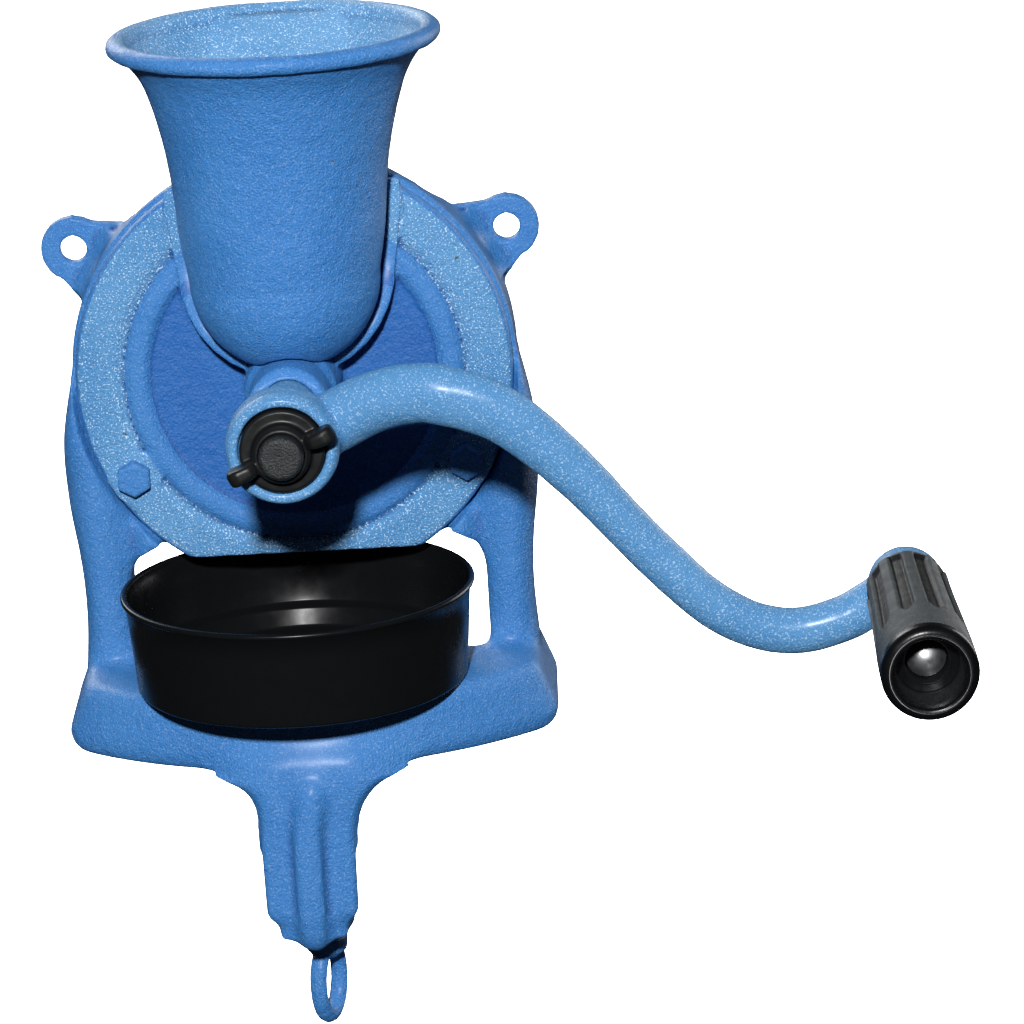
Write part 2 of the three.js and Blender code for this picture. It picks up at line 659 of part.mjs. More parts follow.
function burrScrew([x, z], face, along) {
  const points = [
    [0, 0.4], [screwHead, 0.4], [screwHead, 0.8], [screwStem, 2.6], [screwStem, screwLength], [0, screwLength],
  ];
  return turnedY(points.map(([r, h]) => [r, face + along * h]), 16, x, z);
}

const hubFaceY = burrFront + 0.5; // front of the carrier's hub, inside the burr's hole
const carrierPinY = (hubFaceY + carrierFront) / 2;
const augerBack = fixedBurrBack - 1;
const augerPinY = augerBack - 5;
const pinRadius = 1.5;
const crossRod = (radius, half, y) => solid(new THREE.CylinderGeometry(radius, radius, 2 * half, 14)
  .rotateZ(Math.PI / 2).translate(0, y, shaftHeight));

function carrier() {
  const bore = shaftRadius + gap;
  const points = [
    [bore, hubFaceY], [burrHole - 5, hubFaceY], [burrHole - 4.5, carrierFront], [burrRadius - 3, carrierFront],
    [burrRadius - 3, carrierBack], [bore, carrierBack], [bore, hubFaceY],
  ];
  const holes = screwPlaces.map(([x, z]) => (
    rodY(screwStem + pinGap, carrierFront - 1, carrierBack + 1, 16, x, z)));
  const cuts = [...holes, crossRod(pinRadius + pinGap, burrHole, carrierPinY)];
  return cuts.reduce((all, cut) => all.subtract(cut), turnedY(points, 40));
}

function mainShaft() {
  const driveFront = hubFront + hubRecessDepth - gapOpen - 0.5;
  const tail = drumBack - 2.5 - gapOpen - 1;
  const round = turnedY([
    [0, shaftFront], [shaftRadius - 1.6, shaftFront], [shaftRadius - 0.5, shaftFront + 0.6],
    [shaftRadius, shaftFront + 1.8], [shaftRadius, tail - 1.5], [shaftRadius - 1.5, tail], [0, tail],
  ], 36);
  const flat = driveFlats / 2;
  const driveBack = bushFront + 1;
  const square = block(-flat, flat, driveFront, driveBack, shaftHeight - flat, shaftHeight + flat);
  const drive = round.intersect(square);
  const wide = 2 * shaftRadius;
  const around = block(-wide, wide, driveFront, driveBack, shaftHeight - wide, shaftHeight + wide);
  const rest = round.subtract(around);
  const pinHole = (y) => crossRod(pinRadius + pinGap, wide, y);
  return join(rest, drive).subtract(pinHole(augerPinY)).subtract(pinHole(carrierPinY));
}

function feedAuger() {
  const core = shaftRadius + 2.3;
  const length = augerBack - augerFront;
  const steps = 24;
  const thick = 2.6;
  const rings = [];
  for (let k = 0; k <= steps; k++) {
    const turn = (k / steps) * augerTurns * Math.PI * 2;
    const y = augerFront + thick / 2 + (k / steps) * (length - thick);
    const corner = (r, dy) => new THREE.Vector3(r * Math.cos(turn), y + dy, shaftHeight + r * Math.sin(turn));
    rings.push([corner(core - 1, -thick / 2), corner(augerRadius, -thick / 3), corner(augerRadius, thick / 3),
      corner(core - 1, thick / 2)]);
  }
  const sleeve = rodY(core, augerFront, augerBack, 32).add(loft(rings));
  const inner = rodY(shaftRadius + gap, augerFront - 1, augerBack + 1, 36);
  return sleeve.subtract(inner).subtract(crossRod(pinRadius + pinGap, 2 * core, augerPinY));
}

function shaftBush() {
  const outer = bossBore - gap;
  const inner = shaftRadius + runGap;
  const back = throatFront + 2;
  const profile = [[inner, bushFront], [outer, bushFront], [outer, back], [inner, back], [inner, bushFront]];
  return turnedY(profile, 36);
}

// ---- crank, grip and wing nut ----
// the arm's middle line: hundredths of the crank's reach across and up from the shaft axis, then
// how far it has come forward from the hub's middle, 0 to 1
const armRoute = [
  [3.4, 0.5, 0], [8.4, 2.5, 0.1], [14.3, 5.6, 0.33], [20.2, 7.3, 0.62], [26.2, 7.2, 0.87], [36.3, 3.1, 1],
  [47.2, -7.2, 1], [58.6, -20.9, 1], [69.6, -31.6, 1], [80.1, -35.4, 1], [89.4, -33.9, 1], [96.6, -30.1, 1],
  [100, -28.2, 1],
];

function crankArm() {
  const back = bushFront - gap;
  const hub = turnedY([
    [0, hubFront], [hubRadius - 3.4, hubFront], [hubRadius - 1.2, hubFront + 1.1], [hubRadius, hubFront + 4],
    [hubRadius, hubMiddle - 6], [hubRadius - 1, hubMiddle + 1], [hubRadius - 5, hubMiddle + 9],
    [hubNeck + 2, hubMiddle + 15], [hubNeck, hubMiddle + 19], [hubNeck, back], [0, back],
  ], 40);
  const part = crankAcross / 100;
  const route = armRoute.map(([x, z, forward]) => {
    const y = THREE.MathUtils.lerp(hubMiddle, armY, forward);
    return new THREE.Vector3(x * part, y, shaftHeight + z * part);
  });
  const curve = new THREE.CatmullRomCurve3(route);
  const steps = 26;
  const rings = [];
  for (let k = 0; k <= steps; k++) {
    const t = k / steps;
    const centre = curve.getPointAt(t);
    const along = curve.getTangentAt(t);
    const wide = THREE.MathUtils.lerp(armRadiusHub, armRadiusEnd, THREE.MathUtils.smoothstep(t, 0.12, 0.55));
    const deep = THREE.MathUtils.lerp(armRadiusHub, armDepthEnd, THREE.MathUtils.smoothstep(t, 0, 0.25));
    const ring = [];
    for (let i = 0; i < 12; i++) {
      const turn = (i / 12) * Math.PI * 2;
      const across = wide * Math.cos(turn);
      const out = new THREE.Vector3(-along.z * across, deep * Math.sin(turn), along.x * across);
      ring.push(out.add(centre));
    }
    rings.push(ring);
  }
  const [gx, gz] = gripAxis;
  const eye = turnedY([
    [0, eyeFront], [eyeRadius - 1.6, eyeFront], [eyeRadius, eyeFront + 1.6], [eyeRadius, armY],
    [eyeRadius - 2, armY + 6], [eyeRadius - 6, eyeBack - 0.2], [0, eyeBack],
  ], 36, gx, gz);
  const recess = rodY(hubRecess, hubFront - 1, hubFront + hubRecessDepth, 44);
  const flat = driveFlats / 2 + gap;
  const socket = block(-flat, flat, hubFront, back + 1, shaftHeight - flat, shaftHeight + flat);
  const bore = rodY(shaftRadius + gap, hubFront, back + 1, 40).intersect(socket);
  const pinHole = rodY(gripBoltRadius + pinGap, eyeFront - 1, eyeBack + 10, 24, gx, gz);
  return join(hub, loft(rings), eye).subtract(recess).subtract(bore).subtract(pinHole);
}

const gripStep = gripEnd + 22; // where the bolt's head lies in the grip

function grip() {
  const [gx, gz] = gripAxis;
  const bore = gripBoltRadius + runGap + 0.1;
  const head = gripBoltRadius + 3.2;
  const mouth = gripRadiusEnd - 4.8;
  const points = [
    [bore, gripBase], [gripRadiusBase - 1.6, gripBase], [gripRadiusBase, gripBase - 1.8],
    [gripRadiusEnd - 0.4, gripEnd + 26], [gripRadiusEnd, gripEnd + 22], [gripRadiusEnd, gripEnd + 3],
    [gripRadiusEnd - 1.2, gripEnd + 0.8], [gripRadiusEnd - 3.2, gripEnd], [mouth, gripEnd + 0.9],
    [mouth - 1, gripEnd + 2.6], [mouth - 1.8, gripEnd + 14], [head + 0.4, gripEnd + 15], [head, gripStep],
    [bore, gripStep], [bore, gripBase],
  ];
  return turnedY(points, 36, gx, gz);
}

function gripBolt() {
  const [gx, gz] = gripAxis;
  const seat = gripStep - gap;
  const tail = eyeBack + gap;
  const head = gripBoltRadius + 2.4;
  return turnedY([
    [0, seat - 5], [head - 3.8, seat - 4.6], [head - 1, seat - 3], [head, seat - 1], [head, seat],
    [gripBoltRadius, seat], [gripBoltRadius, tail], [head - 0.4, tail], [head - 1, tail + 1.8],
    [head - 4.4, tail + 3], [0, tail + 3.2],
  ], 28, gx, gz);
}

function wing(turn) {
  const rim = hubFront - 0.9;
  const outer = nutRadius + 2.3;
  const shape = new THREE.Shape();
  shape.moveTo(rim + 4, nutRadius - 6.4);
  shape.lineTo(rim + 4, nutRadius - 0.6);
  shape.lineTo(rim, nutRadius - 0.2);
  shape.quadraticCurveTo(rim - 1.5, outer - 0.3, rim - 5, outer);
  shape.quadraticCurveTo(rim - 10, outer + 0.3, rim - 11, outer - 3.2);
  shape.quadraticCurveTo(rim - 10.5, nutRadius - 5.8, rim - 5, nutRadius - 6.8);
  const flat = plateX(shape, -2.7, 2.7, 1.4, 3);
  return flat.rotate([0, turn, 0]).translate([0, 0, shaftHeight]);
}

function wingNut() {
  const back = hubFront + hubRecessDepth - gap;
  const face = hubFront - 1.4;
  const collar = shaftRadius + 2.3;
  const disc = turnedY([
    [0, back], [nutRadius, back], [nutRadius, face + 0.8], [nutRadius - 0.8, face], [collar + 1, face],
    [collar + 0.4, face - 0.8], [collar, face - 5.5], [collar - 1, face - 6.5], [0, face - 6.5],
  ], 40);
  const wingTilt = 23; // degrees above level at rest
  const wings = join(wing(90 - wingTilt), wing(270 - wingTilt));
  return join(disc, wings).subtract(rodY(shaftRadius + runGap, shaftFront - 5, back + 1, 36));
}

// ---- meal cup ----
function mealCup() {
  const z = shelfHeight + gap;
  const top = z + cupHeight;
  const wall = cupRadius - 1.9;
  const foot = cupRadius - 4.6;
  const floor = z + 1;
  const step = z + 0.3 * cupHeight;
  const points = [
    [0, floor], [foot - 8, floor], [foot - 7, z], [foot - 0.8, z], [foot, z + 0.8], [wall, top - 3],
    [cupRadius, top - 2.6], [cupRadius, top - 0.6], [cupRadius - 0.6, top], [cupRadius - 2.2, top],
    [wall - cupWall, top - 3.2], [foot - cupWall + 0.4, step], [foot - 6.2, step - 1],
    [foot - 7, floor + cupWall], [0, floor + cupWall],
  ];
  return turnedZ(points, 48, cupCentre.x, cupCentre.y);
}

// ---- table clamp ----
const screwTip = clampPadTop - 2.5;
const jawUnder = jawTop - jawThick - 4;
const handleTop = jawUnder - 0.6;
const handleGrip = 7; // length of the screw inside the handle

function clampScrew() {
  const r = clampScrewRadius;
  const neck = clampPadTop - clampPadThick - 5;
  const root = handleTop - handleGrip;
  return turnedZ([
    [0, root], [r, root], [r, neck - 1], [r - 1.2, neck], [r - 1.2, screwTip - 1], [r - 2.2, screwTip],
    [0, screwTip],
  ], 28);
}

function clampPad() {
  const under = clampPadTop - clampPadThick;
  const bore = clampScrewRadius - 1.2 + gap;
  return turnedZ([
    [0, clampPadTop], [clampPadRadius - 1, clampPadTop], [clampPadRadius, clampPadTop - 1],
    [clampPadRadius, clampPadTop - 3], [bore + 4.9, under], [bore + 3.9, under - 4], [bore, under - 4],
    [bore, screwTip + gap], [0, screwTip + gap],
  ], 36);
}

function clampHandle() {
  const tall = loopHeight / 2 - loopBar / 2;
  const centre = handleTop - 5.5 - tall;
  const rings = [];
  const steps = 24;
  for (let k = 0; k < steps; k++) {
    const t = (k / steps) * Math.PI * 2;
    const squeeze = 0.86 + 0.14 * Math.cos(2 * t); // the bar is thinner at the loop's sides
    const ring = [];
    for (let i = 0; i < 8; i++) {
      const a = (i / 8) * Math.PI * 2;
      const grow = loopBar * Math.cos(a) * squeeze;
      const x = (loopHalfWidth + grow) * Math.sin(t);
      ring.push(new THREE.Vector3(x, loopBar * Math.sin(a), centre + (tall + grow) * Math.cos(t)));
    }
    rings.push(ring);
  }
  const loop = closedLoft(rings).rotate([0, 0, loopTurn]);
  const collar = clampScrewRadius + 3;
  const root = handleTop - handleGrip;
  const hub = turnedZ([
    [0, handleTop], [collar - 1.4, handleTop], [collar, handleTop - 1.4], [collar - 0.6, root],
    [collar - 4, root - 3], [0, root - 3.5],
  ], 28);
  const hole = rodZ(clampScrewRadius + gap, root - gap, handleTop + 1, 28);
  return loop.add(hub).subtract(hole);
}

const model = new THREE.Group();
model.add(piece('body_casting', paint(), bodyCasting()));
model.add(piece('front_cover', paint(), frontCover()));
Object.entries(boltPlaces).forEach(([side, place]) => {
  model.add(piece(`cover_bolt_${side}`, paint(), coverBolt(place)));
});
model.add(piece('hopper', paint(), hopper()));
model.add(piece('fixed_burr', ironRaw(), fixedBurr()));
model.add(piece('rotating_burr', ironRaw(), rotatingBurr()));
screwPlaces.forEach((place, i) => {
  model.add(piece(`fixed_burr_screw_${i + 1}`, steel(), burrScrew(place, fixedBurrBack, -1)));
  model.add(piece(`burr_screw_${i + 1}`, steel(), burrScrew(place, burrFront, 1)));
});
model.add(piece('burr_carrier', ironRaw(), carrier()));
model.add(piece('carrier_pin', steel(), crossRod(pinRadius, burrHole - 6, carrierPinY)));
model.add(piece('main_shaft', steel(), mainShaft()));
model.add(piece('feed_auger', ironRaw(), feedAuger()));
model.add(piece('auger_pin', steel(), crossRod(pinRadius, shaftRadius + 2, augerPinY)));
model.add(piece('shaft_bush', bronze(), shaftBush()));
model.add(piece('crank_arm', paintLight(), crankArm()));
model.add(piece('grip', blackPlastic(0.7), grip()));
model.add(piece('grip_bolt', steel(), gripBolt()));
model.add(piece('wing_nut', blackPlastic(0.5), wingNut()));
model.add(piece('meal_cup', blackPlastic(0.3), mealCup()));
model.add(piece('clamp_screw', steel(), clampScrew()));
model.add(piece('clamp_pad', paint(), clampPad()));
model.add(piece('clamp_handle', paint(), clampHandle()));

export default model;
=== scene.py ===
import json
import math
import bmesh
import bpy
import numpy as np
from mathutils import Matrix, Vector


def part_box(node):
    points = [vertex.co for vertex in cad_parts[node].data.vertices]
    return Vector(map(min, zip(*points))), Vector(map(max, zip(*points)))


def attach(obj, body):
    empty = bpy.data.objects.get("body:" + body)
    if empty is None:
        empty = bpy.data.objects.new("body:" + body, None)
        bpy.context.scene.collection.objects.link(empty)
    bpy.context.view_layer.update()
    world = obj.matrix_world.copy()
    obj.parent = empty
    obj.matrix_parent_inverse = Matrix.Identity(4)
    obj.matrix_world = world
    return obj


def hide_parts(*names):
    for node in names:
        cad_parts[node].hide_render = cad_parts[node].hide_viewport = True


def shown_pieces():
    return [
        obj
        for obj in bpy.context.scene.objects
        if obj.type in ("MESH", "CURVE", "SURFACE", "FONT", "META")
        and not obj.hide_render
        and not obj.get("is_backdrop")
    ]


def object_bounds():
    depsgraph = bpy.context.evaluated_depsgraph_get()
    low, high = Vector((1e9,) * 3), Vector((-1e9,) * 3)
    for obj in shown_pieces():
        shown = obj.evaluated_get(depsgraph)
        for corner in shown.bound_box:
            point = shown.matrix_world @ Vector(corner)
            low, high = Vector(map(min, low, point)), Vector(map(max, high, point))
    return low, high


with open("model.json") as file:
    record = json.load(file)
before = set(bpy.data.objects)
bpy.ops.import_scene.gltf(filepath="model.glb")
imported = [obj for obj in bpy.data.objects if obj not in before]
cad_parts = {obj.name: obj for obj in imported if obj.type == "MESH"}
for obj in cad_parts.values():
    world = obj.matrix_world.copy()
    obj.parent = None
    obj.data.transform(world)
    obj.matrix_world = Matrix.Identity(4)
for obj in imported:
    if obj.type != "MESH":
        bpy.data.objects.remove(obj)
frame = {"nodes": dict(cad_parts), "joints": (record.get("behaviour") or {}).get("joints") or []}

# Hand grain mill: cast body, cover and hopper in blue paint, black cup, grip and wing nut.
# Lengths in the tables are millimetres unless a name says otherwise.
cadLow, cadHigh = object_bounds()
mm = 0.001
joints = {joint["name"]: joint for joint in frame["joints"]}
shaftHeight = joints["crank_spin"]["pos_m"][2] / mm
gripX = joints["grip_spin"]["pos_m"][0] / mm
gripZ = joints["grip_spin"]["pos_m"][2] / mm
print("frame loaded, shaft at", round(shaftHeight, 1), "mm")


def boxOf(node):
    low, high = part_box(node)
    return low / mm, high / mm


# mesh helpers
def newPiece(name, verts, faces):
    mesh = bpy.data.meshes.new(name)
    mesh.from_pydata([tuple(c * mm for c in v) for v in verts], [], faces)
    tidy = bmesh.new()
    tidy.from_mesh(mesh)
    bmesh.ops.recalc_face_normals(tidy, faces=tidy.faces)
    tidy.to_mesh(mesh)
    tidy.free()
    piece = bpy.data.objects.new(name, mesh)
    bpy.context.scene.collection.objects.link(piece)
    return piece


def bridge(faces, ringA, ringB):
    sides = max(len(ringA), len(ringB))
    for i in range(sides):
        j = (i + 1) % sides
        if len(ringA) == 1:
            faces.append((ringA[0], ringB[j], ringB[i]))
        elif len(ringB) == 1:
            faces.append((ringA[i], ringA[j], ringB[0]))
        else:
            faces.append((ringA[i], ringA[j], ringB[j], ringB[i]))


def turned(name, profile, sides=96, middle=(0, 0), axis="y", swell=None):
    # profile points are (radius, along the axis); the first point again at the end makes a ring
    looped = profile[0] == profile[-1]
    verts, rings = [], []
    for radius, along in profile[:-1] if looped else profile:
        count = 1 if radius < 1e-6 else sides
        ring = []
        for i in range(count):
            angle = 2 * math.pi * i / sides
            r = radius + (swell(angle, radius, along) if swell and count > 1 else 0)
            a, b = middle[0] + r * math.cos(angle), middle[1] + r * math.sin(angle)
            ring.append(len(verts))
            verts.append((a, along, b) if axis == "y" else (a, b, along))
        rings.append(ring)
    faces = []
    for ringA, ringB in zip(rings, rings[1:]):
        bridge(faces, ringA, ringB)
    if looped:
        bridge(faces, rings[-1], rings[0])
    return newPiece(name, verts, faces)


def arc(centreR, centreH, radius, start, end, steps):
    turns = [math.radians(start + (end - start) * i / steps) for i in range(steps + 1)]
    return [(centreR + radius * math.cos(t), centreH + radius * math.sin(t)) for t in turns]


def curveThrough(points, steps):
    # a smooth line through the points, of any number of coordinates
    pts = [np.array(p, float) for p in points]
    pts = [2 * pts[0] - pts[1]] + pts + [2 * pts[-1] - pts[-2]]
    out = []
    for a, b, c, d in zip(pts, pts[1:], pts[2:], pts[3:]):
        for i in range(steps):
            t = i / steps
            out.append(0.5 * (2 * b + (c - a) * t + (2 * a - 5 * b + 4 * c - d) * t ** 2
                              + (3 * b - a - 3 * c + d) * t ** 3))
    return out + [pts[-2]]


def bake(piece):
    # modifiers become the piece's own mesh
    graph = bpy.context.evaluated_depsgraph_get()
    mesh = bpy.data.meshes.new_from_object(piece.evaluated_get(graph))
    piece.modifiers.clear()
    piece.data = mesh
    mesh.polygons.foreach_set("use_smooth", [True] * len(mesh.polygons))
    mesh.update()
    return piece


def cut(piece, tool):
    change = piece.modifiers.new("cut", "BOOLEAN")
    change.object = tool
    change.operation = "DIFFERENCE"
    change.solver = "EXACT"
    bake(piece)
    bpy.data.objects.remove(tool)
    return piece


def addInto(piece, extra):
    merged = bmesh.new()
    merged.from_mesh(piece.data)
    merged.from_mesh(extra.data)
    merged.to_mesh(piece.data)
    merged.free()
    bpy.data.objects.remove(extra)


def castSkin(piece, voxel, rounds, ripple=0.0):
    # one closed skin with soft inside and outside corners, as a sand casting has
    skin = piece.modifiers.new("skin", "REMESH")
    skin.mode = "VOXEL"
    skin.voxel_size = voxel * mm
    soften = piece.modifiers.new("soften", "SMOOTH")
    soften.factor = 0.5
    soften.iterations = rounds
    if ripple:
        waves = bpy.data.textures.new("moldWaves", "CLOUDS")
        waves.noise_scale = 0.014
        waves.noise_depth = 2
        shift = piece.modifiers.new("ripple", "DISPLACE")
        shift.texture = waves
        shift.strength = ripple * mm
        shift.mid_level = 0.5
    return bake(piece)


def copyOf(node, name):
    piece = bpy.data.objects.new(name, frame["nodes"][node].data.copy())
    bpy.context.scene.collection.objects.link(piece)
    return piece


def readPoints(piece):
    co = np.zeros(len(piece.data.vertices) * 3, np.float32)
    piece.data.vertices.foreach_get("co", co)
    return co.reshape(-1, 3) / mm


def writePoints(piece, co):
    piece.data.vertices.foreach_set("co", (co * mm).astype(np.float32).ravel())
    piece.data.update()


def step(values, low, high):
    # 0 below low, 1 above high, smooth between; for one number or many
    t = np.clip((values - low) / (high - low), 0, 1)
    return t * t * (3 - 2 * t)


def softenWhere(piece, rounds, softness):
    # extra rounding where softness is above 0
    levels = np.round(np.clip(softness, 0, 1) * 8).astype(int)
    group = piece.vertex_groups.new(name="soft")
    for level in range(1, 9):
        group.add(np.nonzero(levels == level)[0].tolist(), level / 8, "REPLACE")
    change = piece.modifiers.new("soften", "SMOOTH")
    change.factor = 0.5
    change.iterations = rounds
    change.vertex_group = "soft"
    bake(piece)
    piece.vertex_groups.clear()


def trueRound(piece, sides, near=None):
    # takes the flats out of a shape turned about the shaft with few sides
    co = readPoints(piece)
    dx = co[:, 0]
    dz = co[:, 2] - shaftHeight
    angle = np.arctan2(dx, dz)
    facet = 2 * math.pi / sides
    local = np.mod(angle, facet) - facet / 2
    grow = np.cos(local) / math.cos(facet / 2)
    if near:
        radius, band = near
        away = np.abs(np.hypot(dx, dz) * grow - radius)
        grow = 1 + (grow - 1) * np.clip(2 - away / band, 0, 1)
    co[:, 0] = dx * grow
    co[:, 2] = shaftHeight + dz * grow
    writePoints(piece, co)


def place(piece, body, slotName, materials, *nodesStoodFor):
    piece.data.materials.clear()
    for material in materials if isinstance(materials, list) else [materials]:
        piece.data.materials.append(material)
    piece.data.polygons.foreach_set("use_smooth", [True] * len(piece.data.polygons))
    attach(piece, body)
    if nodesStoodFor:
        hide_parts(*nodesStoodFor)
    print("made", piece.name, len(piece.data.polygons), "faces")
    return piece


# materials
class Mix:
    # a new material with its nodes at hand
    def __init__(self, name):
        self.material = bpy.data.materials.new(name)
        self.material.use_nodes = True
        self.nodes = self.material.node_tree.nodes
        self.links = self.material.node_tree.links
        self.shader = self.nodes["Principled BSDF"]
        self.spot = self.nodes.new("ShaderNodeTexCoord").outputs["Object"]

    def join(self, start, end):
        self.links.new(start, end)

    def noise(self, size, detail=2.0, rough=0.5):
        made = self.nodes.new("ShaderNodeTexNoise")
        made.inputs["Scale"].default_value = 1000 / size
        made.inputs["Detail"].default_value = detail
        made.inputs["Roughness"].default_value = rough
        self.join(self.spot, made.inputs["Vector"])
        return made.outputs["Fac"]

    def ramp(self, value, low, high, start=0.0, end=1.0):
        made = self.nodes.new("ShaderNodeMapRange")
        made.inputs["From Min"].default_value = low
        made.inputs["From Max"].default_value = high
        made.inputs["To Min"].default_value = start
        made.inputs["To Max"].default_value = end
        self.join(value, made.inputs["Value"])
        return made.outputs["Result"]

    def blend(self, fac, first, second):
        made = self.nodes.new("ShaderNodeMix")
        made.data_type = "RGBA"
        self.join(fac, made.inputs["Factor"])
        for socket, colour in ((made.inputs["A"], first), (made.inputs["B"], second)):
            if isinstance(colour, (tuple, list)):
                socket.default_value = (*colour, 1)
            else:
                self.join(colour, socket)
        return made.outputs["Result"]

    def times(self, a, b):
        made = self.nodes.new("ShaderNodeMath")
        made.operation = "MULTIPLY"
        self.join(a, made.inputs[0])
        self.join(b, made.inputs[1])
        return made.outputs[0]

    def bump(self, height, depth, under=None):
        made = self.nodes.new("ShaderNodeBump")
        made.inputs["Strength"].default_value = 1.0
        made.inputs["Distance"].default_value = depth * mm
        self.join(height, made.inputs["Height"])
        if under:
            self.join(under, made.inputs["Normal"])
        return made.outputs["Normal"]


castPaint = {
    "blue": (0.034, 0.19, 0.52),
    "paler": (0.05, 0.225, 0.57),
    # painted shade colour that the hollows go to
    "hollowShade": (0.008, 0.055, 0.24),
    "grain": 0.9,
    "grainDepth": 0.75,
    "lumps": 3.6,
    "lumpDepth": 0.7,
    "gloss": 0.42,
    # strength of the painted glints
    "sparkle": 0.18,
    "coat": 0.1,
}
# the dish of the cover is a darker, smoother blue; its flat ring is rough, and it and the hopper inside are
# paler with strong painted glints: their pale tone is partly the paint's own and partly painted highlight
dishPaint = dict(castPaint, blue=(0.006, 0.105, 0.39), paler=(0.012, 0.13, 0.43), grainDepth=0.45, gloss=0.5,
                 sparkle=0.05, coat=0.08)
ringHighlightLook = dict(castPaint, blue=(0.085, 0.29, 0.6), paler=(0.13, 0.36, 0.67), grainDepth=1.4, gloss=0.34,
                 sparkle=1.0)
insideHighlightLook = dict(ringHighlightLook, blue=(0.11, 0.33, 0.64), paler=(0.17, 0.41, 0.72), grainDepth=1.2)
# the crank's painted shade in the hollows is a lighter blue
crankPaint = dict(castPaint, blue=(0.07, 0.255, 0.53), paler=(0.1, 0.3, 0.58), hollowShade=(0.03, 0.15, 0.4),
                  grain=0.8, grainDepth=0.8, lumps=4.0, lumpDepth=0.6, gloss=0.4, sparkle=0.5, coat=0.3)


def paintedCasting(name, look):
    mix = Mix(name)
    shade = mix.ramp(mix.noise(30, 4), 0.3, 0.7)
    colour = mix.blend(shade, look["blue"], look["paler"])
    # painted shade: the colour goes darker in the hollows, where shade falls
    edge = mix.nodes.new("ShaderNodeNewGeometry").outputs["Pointiness"]
    hollowShadeMask = mix.ramp(edge, 0.495, 0.45)
    colour = mix.blend(hollowShadeMask, colour, look["hollowShade"])
    # painted glints: pale flecks painted into the colour stand in for tiny high points catching the light
    paintedGlint = mix.ramp(mix.noise(0.7, 1), 0.6, 0.66, 0, look["sparkle"])
    colour = mix.blend(paintedGlint, colour, (0.62, 0.82, 1.0))
    # a few chips down to the brown primer
    cells = mix.nodes.new("ShaderNodeTexVoronoi")
    cells.inputs["Scale"].default_value = 24
    cells.inputs["Randomness"].default_value = 1.0
    mix.join(mix.spot, cells.inputs["Vector"])
    near = mix.ramp(cells.outputs["Distance"], 0.035, 0.02)
    ragged = mix.ramp(mix.noise(0.9, 3), 0.5, 0.56)
    chips = mix.times(near, ragged)
    colour = mix.blend(chips, colour, (0.09, 0.085, 0.03))
    mix.join(colour, mix.shader.inputs["Base Color"])
    rough = mix.ramp(mix.noise(2.2, 2), 0.3, 0.7, look["gloss"] - 0.07, look["gloss"] + 0.1)
    mix.join(rough, mix.shader.inputs["Roughness"])
    mix.shader.inputs["Specular IOR Level"].default_value = 0.45
    mix.shader.inputs["Coat Weight"].default_value = look["coat"]
    mix.shader.inputs["Coat Roughness"].default_value = 0.26
    mix.shader.inputs["Diffuse Roughness"].default_value = 0.3
    lumps = mix.bump(mix.noise(look["lumps"], 2), look["lumpDepth"])
    grain = mix.bump(mix.noise(look["grain"], 3, 0.65), look["grainDepth"], lumps)
    mix.join(grain, mix.shader.inputs["Normal"])
    return mix.material


# colour, gloss and how far it varies, size and depth of the grain, strength of the shine
blackFinishes = {
    "cup": ((0.005, 0.0055, 0.0062), 0.27, 0.05, 14, 0.05, 0.14),
    # the grip's black is lifted, partly for its dust and partly as painted sheen on the ridges
    "grip": ((0.045, 0.056, 0.06), 0.55, 0.12, 0.8, 0.5, 0.5),
    # painted shade: a darker black for the groove floors, where shade falls
    "flute": ((0.006, 0.007, 0.008), 0.5, 0.1, 1.0, 0.3, 0.3),
    "gripEnd": ((0.003, 0.0035, 0.004), 0.3, 0.08, 2.5, 0.08, 0.25),
    "nut": ((0.007, 0.0075, 0.008), 0.42, 0.1, 1.2, 0.05, 0.3),
    "shaftEnd": ((0.013, 0.016, 0.018), 0.4, 0.15, 0.8, 0.6, 0.5),
}


def blackFinish(name):
    black, gloss, spread, grain, depth, shine = blackFinishes[name]
    mix = Mix(name + "Black")
    worn = tuple(c * 2.4 for c in black)
    edge = mix.nodes.new("ShaderNodeNewGeometry").outputs["Pointiness"]
    rubbed = mix.times(mix.ramp(edge, 0.53, 0.62), mix.ramp(mix.noise(1.6, 3), 0.4, 0.65))
    mix.join(mix.blend(rubbed, black, worn), mix.shader.inputs["Base Color"])
    rough = mix.ramp(mix.noise(6, 4), 0.3, 0.7, gloss - spread, gloss + spread)
    mix.join(rough, mix.shader.inputs["Roughness"])
    mix.shader.inputs["Specular IOR Level"].default_value = shine
    mix.join(mix.bump(mix.noise(grain, 3, 0.6), depth), mix.shader.inputs["Normal"])
    return mix.material


# light and dark colour, gloss, size and depth of the grain
metals = {
    "steel": ((0.5, 0.49, 0.47), (0.3, 0.3, 0.3), 0.28, 0.6, 0.02),
    "boltHead": ((0.72, 0.74, 0.75), (0.4, 0.42, 0.43), 0.32, 1.2, 0.04),
    "iron": ((0.2, 0.19, 0.18), (0.07, 0.065, 0.06), 0.55, 0.9, 0.12),
    "bronze": ((0.6, 0.4, 0.16), (0.35, 0.2, 0.08), 0.3, 0.7, 0.02),
}


def metal(name):
    light, dark, gloss, grain, depth = metals[name]
    mix = Mix(name)
    mix.shader.inputs["Metallic"].default_value = 1.0
    stain = mix.ramp(mix.noise(5, 4, 0.65), 0.35, 0.62)
    mix.join(mix.blend(stain, light, dark), mix.shader.inputs["Base Color"])
    mix.join(mix.ramp(stain, 0, 1, gloss, gloss + 0.18), mix.shader.inputs["Roughness"])
    mix.join(mix.bump(mix.noise(grain, 2), depth), mix.shader.inputs["Normal"])
    return mix.material


